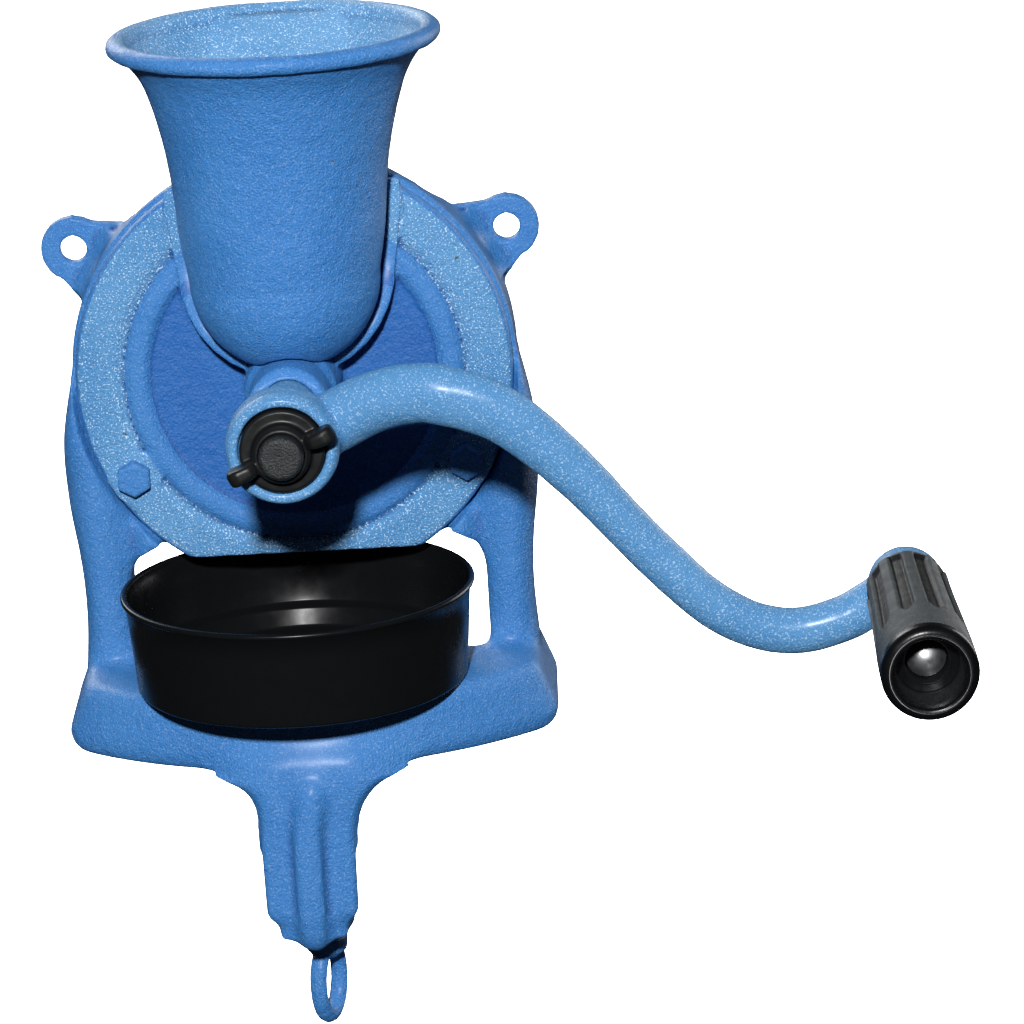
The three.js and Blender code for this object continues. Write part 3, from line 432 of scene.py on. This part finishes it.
bluePaint = paintedCasting("castBluePaint", castPaint)
dishBlue = paintedCasting("dishBluePaint", dishPaint)
ringHighlightBlue = paintedCasting("ringHighlightBluePaint", ringHighlightLook)
insideHighlightBlue = paintedCasting("insideHighlightBluePaint", insideHighlightLook)
lightPaint = paintedCasting("crankBluePaint", crankPaint)
cupBlack, gripDustAndSheenBlack, fluteShadeBlack, gripEndBlack, nutBlack, shaftBlack = (blackFinish(n) for n in blackFinishes)
steel, boltSteel, bareIron, bronze = (metal(n) for n in metals)
print("materials ready")

# body casting
bodyLook = {
    "voxel": 1.15, "rounds": 5, "softRounds": 55,
    "drumRadius": 90.5, "drumSides": 39, "drumFront": 49, "drumBack": 84, "draft": 4.0,
    "skirtFront": -25, "skirtCurve": 140, "tongueFront": -31.5, "tongueShift": -3.0, "tongueWiden": 1.07,
    "barMiddle": 84, "barHalf": 13, "barRound": 7,
    "jawUnder": -66, "jawLift": 0.55,
    "notchInside": 60, "notchOutside": 74.5, "notchFront": 47, "notchBack": 95,
    "notchFloor": 13, "notchTop": 36,
}


def skirtFace(x, z):
    # how far forward the skirt stands; in the middle it swells down into the clamp's upright
    look = bodyLook
    skirt = look["skirtFront"] + x * x / (2 * look["skirtCurve"])
    swell = (1 - step(z, 1, 18)) * (1 - step(np.abs(x), 14, 46))
    return skirt * (1 - swell) + look["tongueFront"] * swell


def skirtFlare():
    # the wide flare between the skirt and the clamp's upright, as heights and half widths
    rows = [(18, 48), (13, 48), (8, 48), (4, 47), (0.6, 43), (0.3, 42),
            (-2, 36), (-4.5, 30), (-8, 25.5), (-13, 22), (-20, 19.8), (-32, 18.6)]
    verts, rings = [], []
    for z, half in rows:
        ring = []
        for i in range(25):
            x = half * (i / 12 - 1)
            y = float(skirtFace(np.float64(x), np.float64(max(z, 1))))
            if z < 0.5:
                y = bodyLook["tongueFront"] + 6 * float(step(abs(x) / half, 0.5, 1.1))
            ring.append(len(verts))
            verts.append((x, y, z))
        for i in (1, -1):
            ring.append(len(verts))
            verts.append((i * half, -13 if z > 0.5 else -23.5, z))
        rings.append(ring)
    faces = [tuple(rings[0]), tuple(reversed(rings[-1]))]
    for ringA, ringB in zip(rings, rings[1:]):
        bridge(faces, ringA, ringB)
    return newPiece("skirtFlare", verts, faces)


def shapeBody(piece):
    look = bodyLook
    co = readPoints(piece)
    x, y, z = co.T.copy()
    # the skirt's face runs smooth over the root of the upright
    over = (np.abs(x) < 47) & (z > -0.8) & (z < 27) & (y < -17)
    y = np.where(over, np.maximum(y, skirtFace(x, z)), y)
    # the drum narrows a little toward the wall
    up = z - shaftHeight
    lean = np.degrees(np.arctan2(np.abs(x), up))
    taper = step(y, look["drumFront"] + 2, look["drumBack"])
    taper *= (1 - step(lean, 38, 54)) * step(np.hypot(x, up), 60, 82)
    grow = 1 - taper * look["draft"] / look["drumRadius"]
    x, z = x * grow, shaftHeight + up * grow
    # upright: a little wider, and a shade left of the screw
    upright = (1 - step(z, -28, 2)) * (1 - step(y, -24, -14))
    x = x * (1 + (look["tongueWiden"] - 1) * upright) + look["tongueShift"] * upright
    under = (z < look["jawUnder"]) & (np.abs(x - look["tongueShift"]) > 6)
    z = np.where(under, look["jawUnder"] + (z - look["jawUnder"]) * look["jawLift"], z)
    # the columns are round in front
    bar = np.clip((np.abs(x) - look["barMiddle"]) / look["barHalf"], -1.2, 1.4) ** 2
    bar *= step(z, 28, 42) * (1 - step(z, 100, 130)) * (1 - step(y, 44, 62)) * (np.abs(x) > 68)
    y = y + look["barRound"] * bar
    writePoints(piece, np.stack([x, y, z], 1))


def bodySoftness(piece):
    # how soft the corners are: the base and the columns most, ears and bosses least
    x, y, z = readPoints(piece).T
    soft = 1 - step(z, 34, 60)
    soft = np.maximum(soft, step(np.abs(x), 52, 62) * (1 - step(z, 120, 170)) * 0.8)
    soft = np.maximum(soft, step(np.abs(x), 38, 46) * (1 - step(z, 90, 100)))
    soft *= np.maximum(step(z, -34, -6), 1 - step(z, -62, -56)) * 0.94 + 0.06
    return soft


def notchTool(side):
    # the shelf ends in front of the columns, so light shows beside the cup
    look = bodyLook
    across = sorted((side * look["notchInside"], side * look["notchOutside"]))
    along = (look["notchFront"], look["notchBack"])
    high = (look["notchFloor"], look["notchTop"])
    verts = [(x, y, z) for x in across for y in along for z in high]
    faces = [(0, 1, 3, 2), (4, 6, 7, 5), (0, 4, 5, 1), (2, 3, 7, 6), (0, 2, 6, 4), (1, 5, 7, 3)]
    return newPiece("notch", verts, faces)


body = copyOf("body_casting", "bodyCasting")
for side in (-1, 1):
    cut(body, notchTool(side))
addInto(body, skirtFlare())
castSkin(body, bodyLook["voxel"], bodyLook["rounds"])
shapeBody(body)
softenWhere(body, bodyLook["softRounds"], bodySoftness(body))
trueRound(body, bodyLook["drumSides"], near=(bodyLook["drumRadius"], 0.6))
place(body, "frame", "blue_casting", bluePaint, "body_casting")

# front cover
coverLook = {
    "voxel": 0.85, "rounds": 10, "sides": 39, "plateFront": 36, "rimInside": 68.5, "dishEdge": 59,
    "collarFoot": 38, "collarSink": 0.92, "sinkFrom": 6, "sinkTo": 56, "footBack": 3.8,
}
cover = castSkin(copyOf("front_cover", "frontCover"), coverLook["voxel"], coverLook["rounds"])
trueRound(cover, coverLook["sides"])
co = readPoints(cover)
# the collar round the hopper sinks into the cover as it rises
up = co[:, 2] - shaftHeight
sink = 1 - coverLook["collarSink"] * step(up, coverLook["sinkFrom"], coverLook["sinkTo"])
behind = step(up, 15, 40) * (1 - step(np.abs(co[:, 0]), 46, 52))
foot = coverLook["collarFoot"] + coverLook["footBack"] * behind
co[:, 1] = np.where(co[:, 1] < foot, foot - (foot - co[:, 1]) * sink, co[:, 1])
writePoints(cover, co)
place(cover, "frame", "blue_casting", [bluePaint, dishBlue, ringHighlightBlue], "front_cover")
# faces of the flat ring get the paler blue with painted highlight; the dish gets its darker blue
for face in cover.data.polygons:
    out = math.hypot(face.center.x, face.center.z - shaftHeight * mm) / mm
    if face.center.y / mm > coverLook["plateFront"] and face.normal.y < -0.8:
        if out > coverLook["rimInside"]:
            face.material_index = 2
        elif out < coverLook["dishEdge"]:
            face.material_index = 1

# cover bolts, painted over with the cover
boltLook = {"voxel": 0.35, "rounds": 6, "ripple": 0.15}
for side in ("left", "right", "top"):
    bolt = copyOf("cover_bolt_" + side, "coverBolt_" + side)
    castSkin(bolt, boltLook["voxel"], boltLook["rounds"], boltLook["ripple"])
    place(bolt, "frame", "blue_casting", bluePaint, "cover_bolt_" + side)

# hopper
hopperLook = {
    "centreY": 25, "endRadius": 38.1, "endAboveShaft": 45.7, "tall": 95.8, "waist": 41, "rimRadius": 61.9,
    "bead": 4.2, "wall": 3.5, "back": 35, "leanAboveShaft": 87.5, "lean": 0.91, "tilt": 0.018,
    "tiltFrom": 200, "insideFrom": 60, "voxel": 0.9, "rounds": 5, "ripple": 0.7,
}


def hopperProfile(shrink):
    look = hopperLook
    end = shaftHeight + look["endAboveShaft"]
    flare = look["rimRadius"] - look["waist"]
    side = [(look["endRadius"], 0), (look["waist"], 0.2), (look["waist"] + 0.07 * flare, 0.37),
            (look["waist"] + 0.18 * flare, 0.55), (look["waist"] + 0.36 * flare, 0.72),
            (look["waist"] + 0.59 * flare, 0.86), (look["rimRadius"] - 0.5, 0.975)]
    points = arc(0, end, look["endRadius"] - shrink, -90, -4, 14)
    points[0] = (0, points[0][1])
    points += [(r - shrink, end + part * look["tall"]) for r, part in curveThrough(side, 8)]
    return points, end + look["tall"]


def backTool(name, inset):
    # everything behind the hopper's flat back, which leans away above the drum
    look = hopperLook
    back = look["back"] - inset
    lean = shaftHeight + look["leanAboveShaft"] + inset
    outline = [(back, 80), (back, lean), (back + 80 * look["lean"], lean + 80), (220, lean + 80), (220, 80)]
    verts = [(x, y, z) for x in (-110, 110) for y, z in outline]
    faces = [(0, 1, 2, 3, 4), (9, 8, 7, 6, 5)] + [(i, i + 5, (i + 1) % 5 + 5, (i + 1) % 5) for i in range(5)]
    return newPiece(name, verts, faces)


outline, rimHeight = hopperProfile(0)
bead = arc(hopperLook["rimRadius"], rimHeight, hopperLook["bead"], -72, 180, 20)
outline += [(r, rimHeight + 0.88 * (z - rimHeight)) for r, z in bead] + [(0, rimHeight - 2)]
inner, rimHeight = hopperProfile(hopperLook["wall"])
inner += [(hopperLook["rimRadius"] - hopperLook["wall"], rimHeight + 12), (0, rimHeight + 12)]
centre = (0, hopperLook["centreY"])
hopper = cut(turned("hopperBell", outline, 144, centre, "z"), backTool("back", 0))
well = cut(turned("well", inner, 144, centre, "z"), backTool("backInside", hopperLook["wall"]))
cut(hopper, well)
neckRoom = [(0, -15), (17, -15), (17, 8), (19.2, 12), (20.2, 43.6), (0, 43.6)]
cut(hopper, turned("neck", neckRoom, 64, (0, shaftHeight)))
castSkin(hopper, hopperLook["voxel"], hopperLook["rounds"], hopperLook["ripple"])
co = readPoints(hopper)
# it stands a hair off upright
co[:, 0] += hopperLook["tilt"] * np.maximum(0, co[:, 2] - hopperLook["tiltFrom"])
writePoints(hopper, co)
place(hopper, "hopper", "blue_casting", [bluePaint, insideHighlightBlue], "hopper")
# the hopper's inside faces get the paler blue with painted highlight
for face in hopper.data.polygons:
    out = Vector((face.center.x, face.center.y - hopperLook["centreY"] * mm, 0))
    if out.dot(face.normal) < 0 and face.center.z / mm > shaftHeight + hopperLook["insideFrom"]:
        face.material_index = 1

# crank arm
crankLook = {
    "hubFront": -75.4, "hubMiddle": -56, "hubRadius": 22, "recess": 17, "recessDepth": 6, "neck": 11.4,
    "back": -4.3, "bore": 9.0, "armPlane": -70, "halfWidthHub": 12.2, "halfWidthEnd": 9.1,
    "halfDepthEnd": 8.2, "eyeRadius": 14.6, "sides": 40, "voxel": 0.8, "rounds": 12, "ripple": 0.5,
}
# hundredths of the reach across and up, then how far the arm has come forward
armRoute = [
    (5.5, 1.3, 0), (8.4, 2.5, 0.1), (14.3, 5.6, 0.33), (20.2, 7.3, 0.62), (26.2, 7.2, 0.87),
    (36.3, 3.2, 1), (47.2, -6.9, 1), (58.6, -20.3, 1), (69.6, -31.1, 1),
    (80.1, -35.4, 1), (89.4, -33.9, 1), (96.6, -30.1, 1), (100, -28.2, 1),
]


def crankBar():
    look = crankLook
    part = gripX / 100
    line = []
    for x, z, forward in curveThrough(armRoute, 8):
        y = look["hubMiddle"] + (look["armPlane"] - look["hubMiddle"]) * forward
        line.append(np.array((x * part, y, shaftHeight + z * part)))
    lengths = np.cumsum([0] + [np.linalg.norm(b - a) for a, b in zip(line, line[1:])])
    verts, rings = [], []
    for k, point in enumerate(line):
        ahead = line[min(k + 1, len(line) - 1)] - line[max(k - 1, 0)]
        ahead = ahead / np.linalg.norm(ahead)
        t = lengths[k] / lengths[-1]
        thick = look["halfWidthHub"]
        wide = thick + (look["halfWidthEnd"] - thick) * step(t, 0.12, 0.55)
        deep = thick + (look["halfDepthEnd"] - thick) * step(t, 0, 0.25)
        ring = []
        for i in range(look["sides"]):
            angle = 2 * math.pi * i / look["sides"]
            across = wide * math.cos(angle)
            ring.append(len(verts))
            verts.append(point + np.array((-ahead[2] * across, deep * math.sin(angle), ahead[0] * across)))
        rings.append(ring)
    faces = [tuple(reversed(rings[0])), tuple(rings[-1])]
    for ringA, ringB in zip(rings, rings[1:]):
        bridge(faces, ringA, ringB)
    return newPiece("crankBar", verts, faces)


def crankHub():
    look = crankLook
    front, middle, r = look["hubFront"], look["hubMiddle"], look["hubRadius"]
    start = (look["bore"], front + look["recessDepth"])
    profile = [start, (look["recess"], start[1]), (look["recess"], front + 1), (look["recess"] + 0.8, front),
               (r - 2.4, front), (r - 1.2, front + 0.8), (r, front + 4), (r, middle - 6), (r - 1, middle + 1),
               (r - 5, middle + 9), (look["neck"] + 2, middle + 15), (look["neck"], middle + 19),
               (look["neck"], look["back"]), (look["bore"], look["back"]), start]
    return turned("crankHub", profile, 96, (0, shaftHeight))


def crankEye():
    r, plane = crankLook["eyeRadius"], crankLook["armPlane"]
    start = (5.4, plane - 10)
    profile = [start, (r - 1.6, plane - 10), (r, plane - 8.4), (r, plane), (r - 2, plane + 6),
               (r - 6, plane + 9.4), (5.4, plane + 9.6), start]
    return turned("crankEye", profile, 72, (gripX, gripZ))


crank = crankBar()
addInto(crank, crankHub())
addInto(crank, crankEye())
boreTool = turned("bore", [(0, -77), (8.95, -77), (8.95, -3), (0, -3)], 64, (0, shaftHeight))
castSkin(crank, crankLook["voxel"], crankLook["rounds"], crankLook["ripple"])
cut(crank, boreTool)
crank.name = "crankArm"
place(crank, "crank", "blue_crank", lightPaint, "crank_arm")

# grip: fluted, with a plain collar and a stepped hole in its free end
gripLow, gripHigh = boxOf("grip")
gripLook = {
    "flutes": 10, "depth": 2.3, "baseRadius": 16.2, "endRadius": 18.15, "fluteEnd": 0.74, "bore": 5.4,
    "boreDepth": 22, "sides": 240, "rings": 70, "smoothEnd": 0.94, "smoothMouth": 12.2,
}


def fluteDepth(angle, radius, along):
    t = (gripHigh.y - along) / (gripHigh.y - gripLow.y)
    if radius < gripLook["baseRadius"] - 3:
        return 0
    wave = math.cos(angle * gripLook["flutes"])
    groove = step(wave, -0.35, 0.25)
    # the groove's end is round: its middle runs further than its sides
    reach = gripLook["fluteEnd"] - 0.05 * (1 - max(0, wave))
    fade = step(t, 0.008, 0.03) * (1 - step(t, reach - 0.03, reach))
    return -gripLook["depth"] * groove * fade


def gripProfile():
    base, tip = gripHigh.y, gripLow.y
    look = gripLook
    big, small, bore = look["endRadius"], look["baseRadius"], look["bore"]
    start = (bore, base)
    wall = [(small - 1.8, base), (small - 0.6, base - 0.5), (small, base - 1.8)]
    for i in range(1, look["rings"] + 1):
        t = i / look["rings"]
        wall.append((small + (big - small) * step(t, 0, 1), base - 1.8 - (base - tip - 6.5) * t))
    lip = arc(big - 3.4, tip + 3.4, 3.4, 0, -90, 10)
    mouth = arc(big - 3.4, tip + 1.6, 1.6, -90, -170, 6)
    hole = [(big - 5.4, tip + 4), (big - 6.4, tip + 14), (big - 7.2, tip + 15.2), (8.9, tip + 15.6),
            (8.3, tip + 16.6), (8.2, tip + look["boreDepth"]), (bore, tip + look["boreDepth"]), start]
    return [start, *wall, *lip, *mouth, *hole]


grip = turned("handGrip", gripProfile(), gripLook["sides"], (gripX, gripZ), swell=fluteDepth)
place(grip, "grip", "black_grip", [gripDustAndSheenBlack, fluteShadeBlack, gripEndBlack], "grip")
for face in grip.data.polygons:
    x, y, z = face.center / mm
    out = math.hypot(x - gripX, z - gripZ)
    t = (gripHigh.y - y) / (gripHigh.y - gripLow.y)
    plain = gripLook["baseRadius"] + (gripLook["endRadius"] - gripLook["baseRadius"]) * step(t, 0, 1)
    if t > gripLook["smoothEnd"] or out < gripLook["smoothMouth"]:
        face.material_index = 2
    # groove floors get the darker black: painted shade in the flutes
    elif out < plain - 1.0 and t > 0.01:
        face.material_index = 1

# grip bolt, its domed head deep in the grip
boltBack = boxOf("grip_bolt")[1].y
headFront = gripLow.y + gripLook["boreDepth"] - 0.3
domed = [(0, headFront - 5.2), (2, headFront - 5.0), (4.2, headFront - 4.1), (6, headFront - 2.6),
         (7.1, headFront - 1), (7.4, headFront), (5, headFront)]
riveted = [(5, boltBack - 3.2), (7, boltBack - 3.2), (6.4, boltBack - 1.4), (3, boltBack - 0.2),
           (0, boltBack)]
gripBolt = turned("gripBolt", domed + riveted, 72, (gripX, gripZ))
place(gripBolt, "crank", "bright_steel", boltSteel, "grip_bolt")

# wing nut and shaft
nutLook = {
    "voxel": 0.4, "rounds": 7, "sides": 28, "reach": 0.2, "wingFrom": 12, "wingTo": 17, "wingBack": -77,
}
nut = castSkin(copyOf("wing_nut", "wingNut"), nutLook["voxel"], nutLook["rounds"])
trueRound(nut, nutLook["sides"])
co = readPoints(nut)
out = np.hypot(co[:, 0], co[:, 2] - shaftHeight)
wing = step(out, nutLook["wingFrom"], nutLook["wingTo"])
wing *= 1 - step(co[:, 1], nutLook["wingBack"] - 2, nutLook["wingBack"])
reach = 1 + nutLook["reach"] * wing
co[:, 0] *= reach
co[:, 2] = shaftHeight + (co[:, 2] - shaftHeight) * reach
writePoints(nut, co)
place(nut, "wing_nut", "black_nut", nutBlack, "wing_nut")

shaftLook = {"voxel": 0.45, "rounds": 4, "sides": 25, "paintedTo": -70}
shaft = castSkin(copyOf("main_shaft", "mainShaft"), shaftLook["voxel"], shaftLook["rounds"])
trueRound(shaft, shaftLook["sides"])
place(shaft, "shaft", "bright_steel", steel, "main_shaft")
shaft.data.materials.append(shaftBlack)
for face in shaft.data.polygons:
    face.material_index = 1 if face.center.y < shaftLook["paintedTo"] * mm else 0

# meal cup
cupLow, cupHigh = boxOf("meal_cup")
cupLook = {"lip": 1.3, "wall": 1.8, "foot": 4.6, "ledge": 12}


def cupProfile():
    look = cupLook
    rim = (cupHigh.x - cupLow.x) / 2
    floor, top = cupLow.z, cupHigh.z
    foot = rim - look["foot"]
    wall = rim - 1.9
    outside = [(0, floor + 1), (foot - 8, floor + 1), (foot - 7, floor), (foot - 2, floor)]
    outside += arc(foot - 1.6, floor + 1.6, 1.6, -90, 0, 6)
    outside += [(foot + (wall - foot) * t, floor + 2 + (top - floor - 5) * t) for t in (0.25, 0.5, 0.75, 1)]
    lip = arc(rim - look["lip"], top - look["lip"], look["lip"], -30, 200, 14)
    ledge = floor + look["ledge"]
    inner, narrow = wall - look["wall"], foot - look["wall"]
    inside = [(inner, top - 3.6), (inner - 1.2, floor + 24), (narrow + 0.4, ledge + 1), (narrow - 0.2, ledge),
              (foot - 5.8, ledge - 0.7), (foot - 6.6, ledge - 1.6), (foot - 7, floor + 4),
              (foot - 8.2, floor + 2.8), (0, floor + 2.8)]
    return outside + lip + inside


cupPlace = ((cupLow.x + cupHigh.x) / 2, (cupLow.y + cupHigh.y) / 2)
cup = turned("mealCup", cupProfile(), 180, cupPlace, "z")
place(cup, "cup", "black_cup", cupBlack, "meal_cup")

# clamp: threaded screw, pad and loop handle
screwLow, screwHigh = boxOf("clamp_screw")
threadLook = {"pitch": 1.75, "outer": 5.95, "root": 5.1, "neck": 4.8, "perTurn": 10, "plainTop": 10}


def threadedScrew():
    look = threadLook
    threadTop = screwHigh.z - look["plainTop"]
    rise = look["pitch"] / look["perTurn"]
    count = int((threadTop - screwLow.z) / rise)
    profile = [(0, screwLow.z)] + [(look["outer"], screwLow.z + i * rise) for i in range(count)]
    profile += [(look["neck"], threadTop), (look["neck"], screwHigh.z - 1), (look["neck"] - 1, screwHigh.z),
                (0, screwHigh.z)]

    def dip(angle, radius, along):
        if radius < look["outer"]:
            return 0
        wave = (along / look["pitch"] + angle / (2 * math.pi)) % 1
        return -(look["outer"] - look["root"]) * abs(2 * wave - 1)

    return turned("clampScrew", profile, 48, axis="z", swell=dip)


place(threadedScrew(), "clamp_screw", "bright_steel", steel, "clamp_screw")

padLook = {"voxel": 0.4, "rounds": 5}
pad = castSkin(copyOf("clamp_pad", "clampPad"), padLook["voxel"], padLook["rounds"])
place(pad, "clamp_pad", "blue_casting", bluePaint, "clamp_pad")

handleLook = {"voxel": 0.5, "rounds": 14, "ripple": 0.4}
handle = copyOf("clamp_handle", "clampHandle")
castSkin(handle, handleLook["voxel"], handleLook["rounds"], handleLook["ripple"])
place(handle, "clamp_screw", "blue_casting", bluePaint, "clamp_handle")

# pieces inside the drum keep their own shape
insideFinish = {
    "fixed_burr": bareIron, "rotating_burr": bareIron, "burr_carrier": bareIron, "feed_auger": bareIron,
    "carrier_pin": steel, "auger_pin": steel, "shaft_bush": bronze,
}
for i in (1, 2, 3):
    insideFinish["fixed_burr_screw_" + str(i)] = steel
    insideFinish["burr_screw_" + str(i)] = steel
for node, finish in insideFinish.items():
    frame["nodes"][node].data.materials.clear()
    frame["nodes"][node].data.materials.append(finish)
print("inside pieces finished")

# stage, lights and camera
stageLook = {"floorDrop": 0.8, "floorSize": 30, "white": 0.9, "air": 0.022}  # metres
# power in watts, size, place and the point it shines at, in metres
shaftPoint = (0, 0, shaftHeight * mm)
lampLook = {
    "keyLight": (56, 0.12, (-0.02, -1.9, 1.017), shaftPoint),
    "backLight": (26, 1.4, (-0.9, 1.9, 1.1), shaftPoint),
    "sideLight": (15.6, 1.2, (1.6, 1.5, 0.5), shaftPoint),
    "floorLight": (2600, 6, (0, 3, 5), (0, 3, -1)),
}


def flatPlane(name, size, height):
    corners = [(-size, -size), (size, -size), (size, size), (-size, size)]
    return newPiece(name, [(x / mm, y / mm, height / mm) for x, y in corners], [(0, 1, 2, 3)])


floor = flatPlane("floor", stageLook["floorSize"] / 2, cadLow.z - stageLook["floorDrop"])
floorMix = Mix("paleFloor")
floorMix.shader.inputs["Base Color"].default_value = (*[stageLook["white"]] * 3, 1)
floorMix.shader.inputs["Roughness"].default_value = 0.9
floor.data.materials.append(floorMix.material)
floor.visible_diffuse = False
floor.visible_glossy = False
floor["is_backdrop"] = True


def softLight(name):
    power, size, where, aim = lampLook[name]
    lamp = bpy.data.lights.new(name, "AREA")
    lamp.energy = power
    lamp.shape = "DISK"
    lamp.size = size
    holder = bpy.data.objects.new(name, lamp)
    bpy.context.scene.collection.objects.link(holder)
    holder.location = where
    holder.rotation_mode = "QUATERNION"
    holder.rotation_quaternion = (Vector(aim) - Vector(where)).to_track_quat("-Z", "Y")
    return holder


keyLight, backLight, sideLight, floorLight = (softLight(name) for name in lampLook)

# three lamps are for the mill alone and the big one for the floor alone
stageGroup = bpy.data.collections.new("stageGroup")
stageGroup.objects.link(floor)
millGroup = bpy.data.collections.new("millGroup")
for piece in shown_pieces():
    millGroup.objects.link(piece)
for lamp in (keyLight, backLight, sideLight):
    lamp.light_linking.receiver_collection = millGroup
floorLight.light_linking.receiver_collection = stageGroup
floorLight.light_linking.blocker_collection = stageGroup

world = bpy.data.worlds.new("studio")
bpy.context.scene.world = world
world.use_nodes = True
air = world.node_tree.nodes["Background"]
rays = world.node_tree.nodes.new("ShaderNodeLightPath")
level = world.node_tree.nodes.new("ShaderNodeMapRange")
level.inputs["To Min"].default_value = stageLook["air"]
level.inputs["To Max"].default_value = 1.0
world.node_tree.links.new(rays.outputs["Is Camera Ray"], level.inputs["Value"])
world.node_tree.links.new(level.outputs["Result"], air.inputs["Strength"])
air.inputs["Color"].default_value = (1, 1, 1, 1)

cameraLook = {"azimuth": 0.71, "elevation": 15.83, "roll": -3.18, "distance": 2.017, "lens": 174.2,
              "target": (0.0848, 0.042, 0.085)}
turn, rise, roll = (math.radians(cameraLook[key]) for key in ("azimuth", "elevation", "roll"))
back = Vector((math.sin(turn) * math.cos(rise), -math.cos(turn) * math.cos(rise), math.sin(rise)))
right = Vector((math.cos(turn), math.sin(turn), 0))
up = back.cross(right)
sideways = math.cos(roll) * right + math.sin(roll) * up
upright = math.cos(roll) * up - math.sin(roll) * right
camera = bpy.data.objects.new("camera", bpy.data.cameras.new("camera"))
bpy.context.scene.collection.objects.link(camera)
camera.data.lens = cameraLook["lens"]
camera.data.sensor_width = 36
stand = Vector(cameraLook["target"]) + back * cameraLook["distance"]
camera.matrix_world = Matrix.Translation(stand) @ Matrix((sideways, upright, back)).transposed().to_4x4()
bpy.context.scene.camera = camera
bpy.context.scene.view_settings.view_transform = "Standard"

print("stage, lights and camera ready")
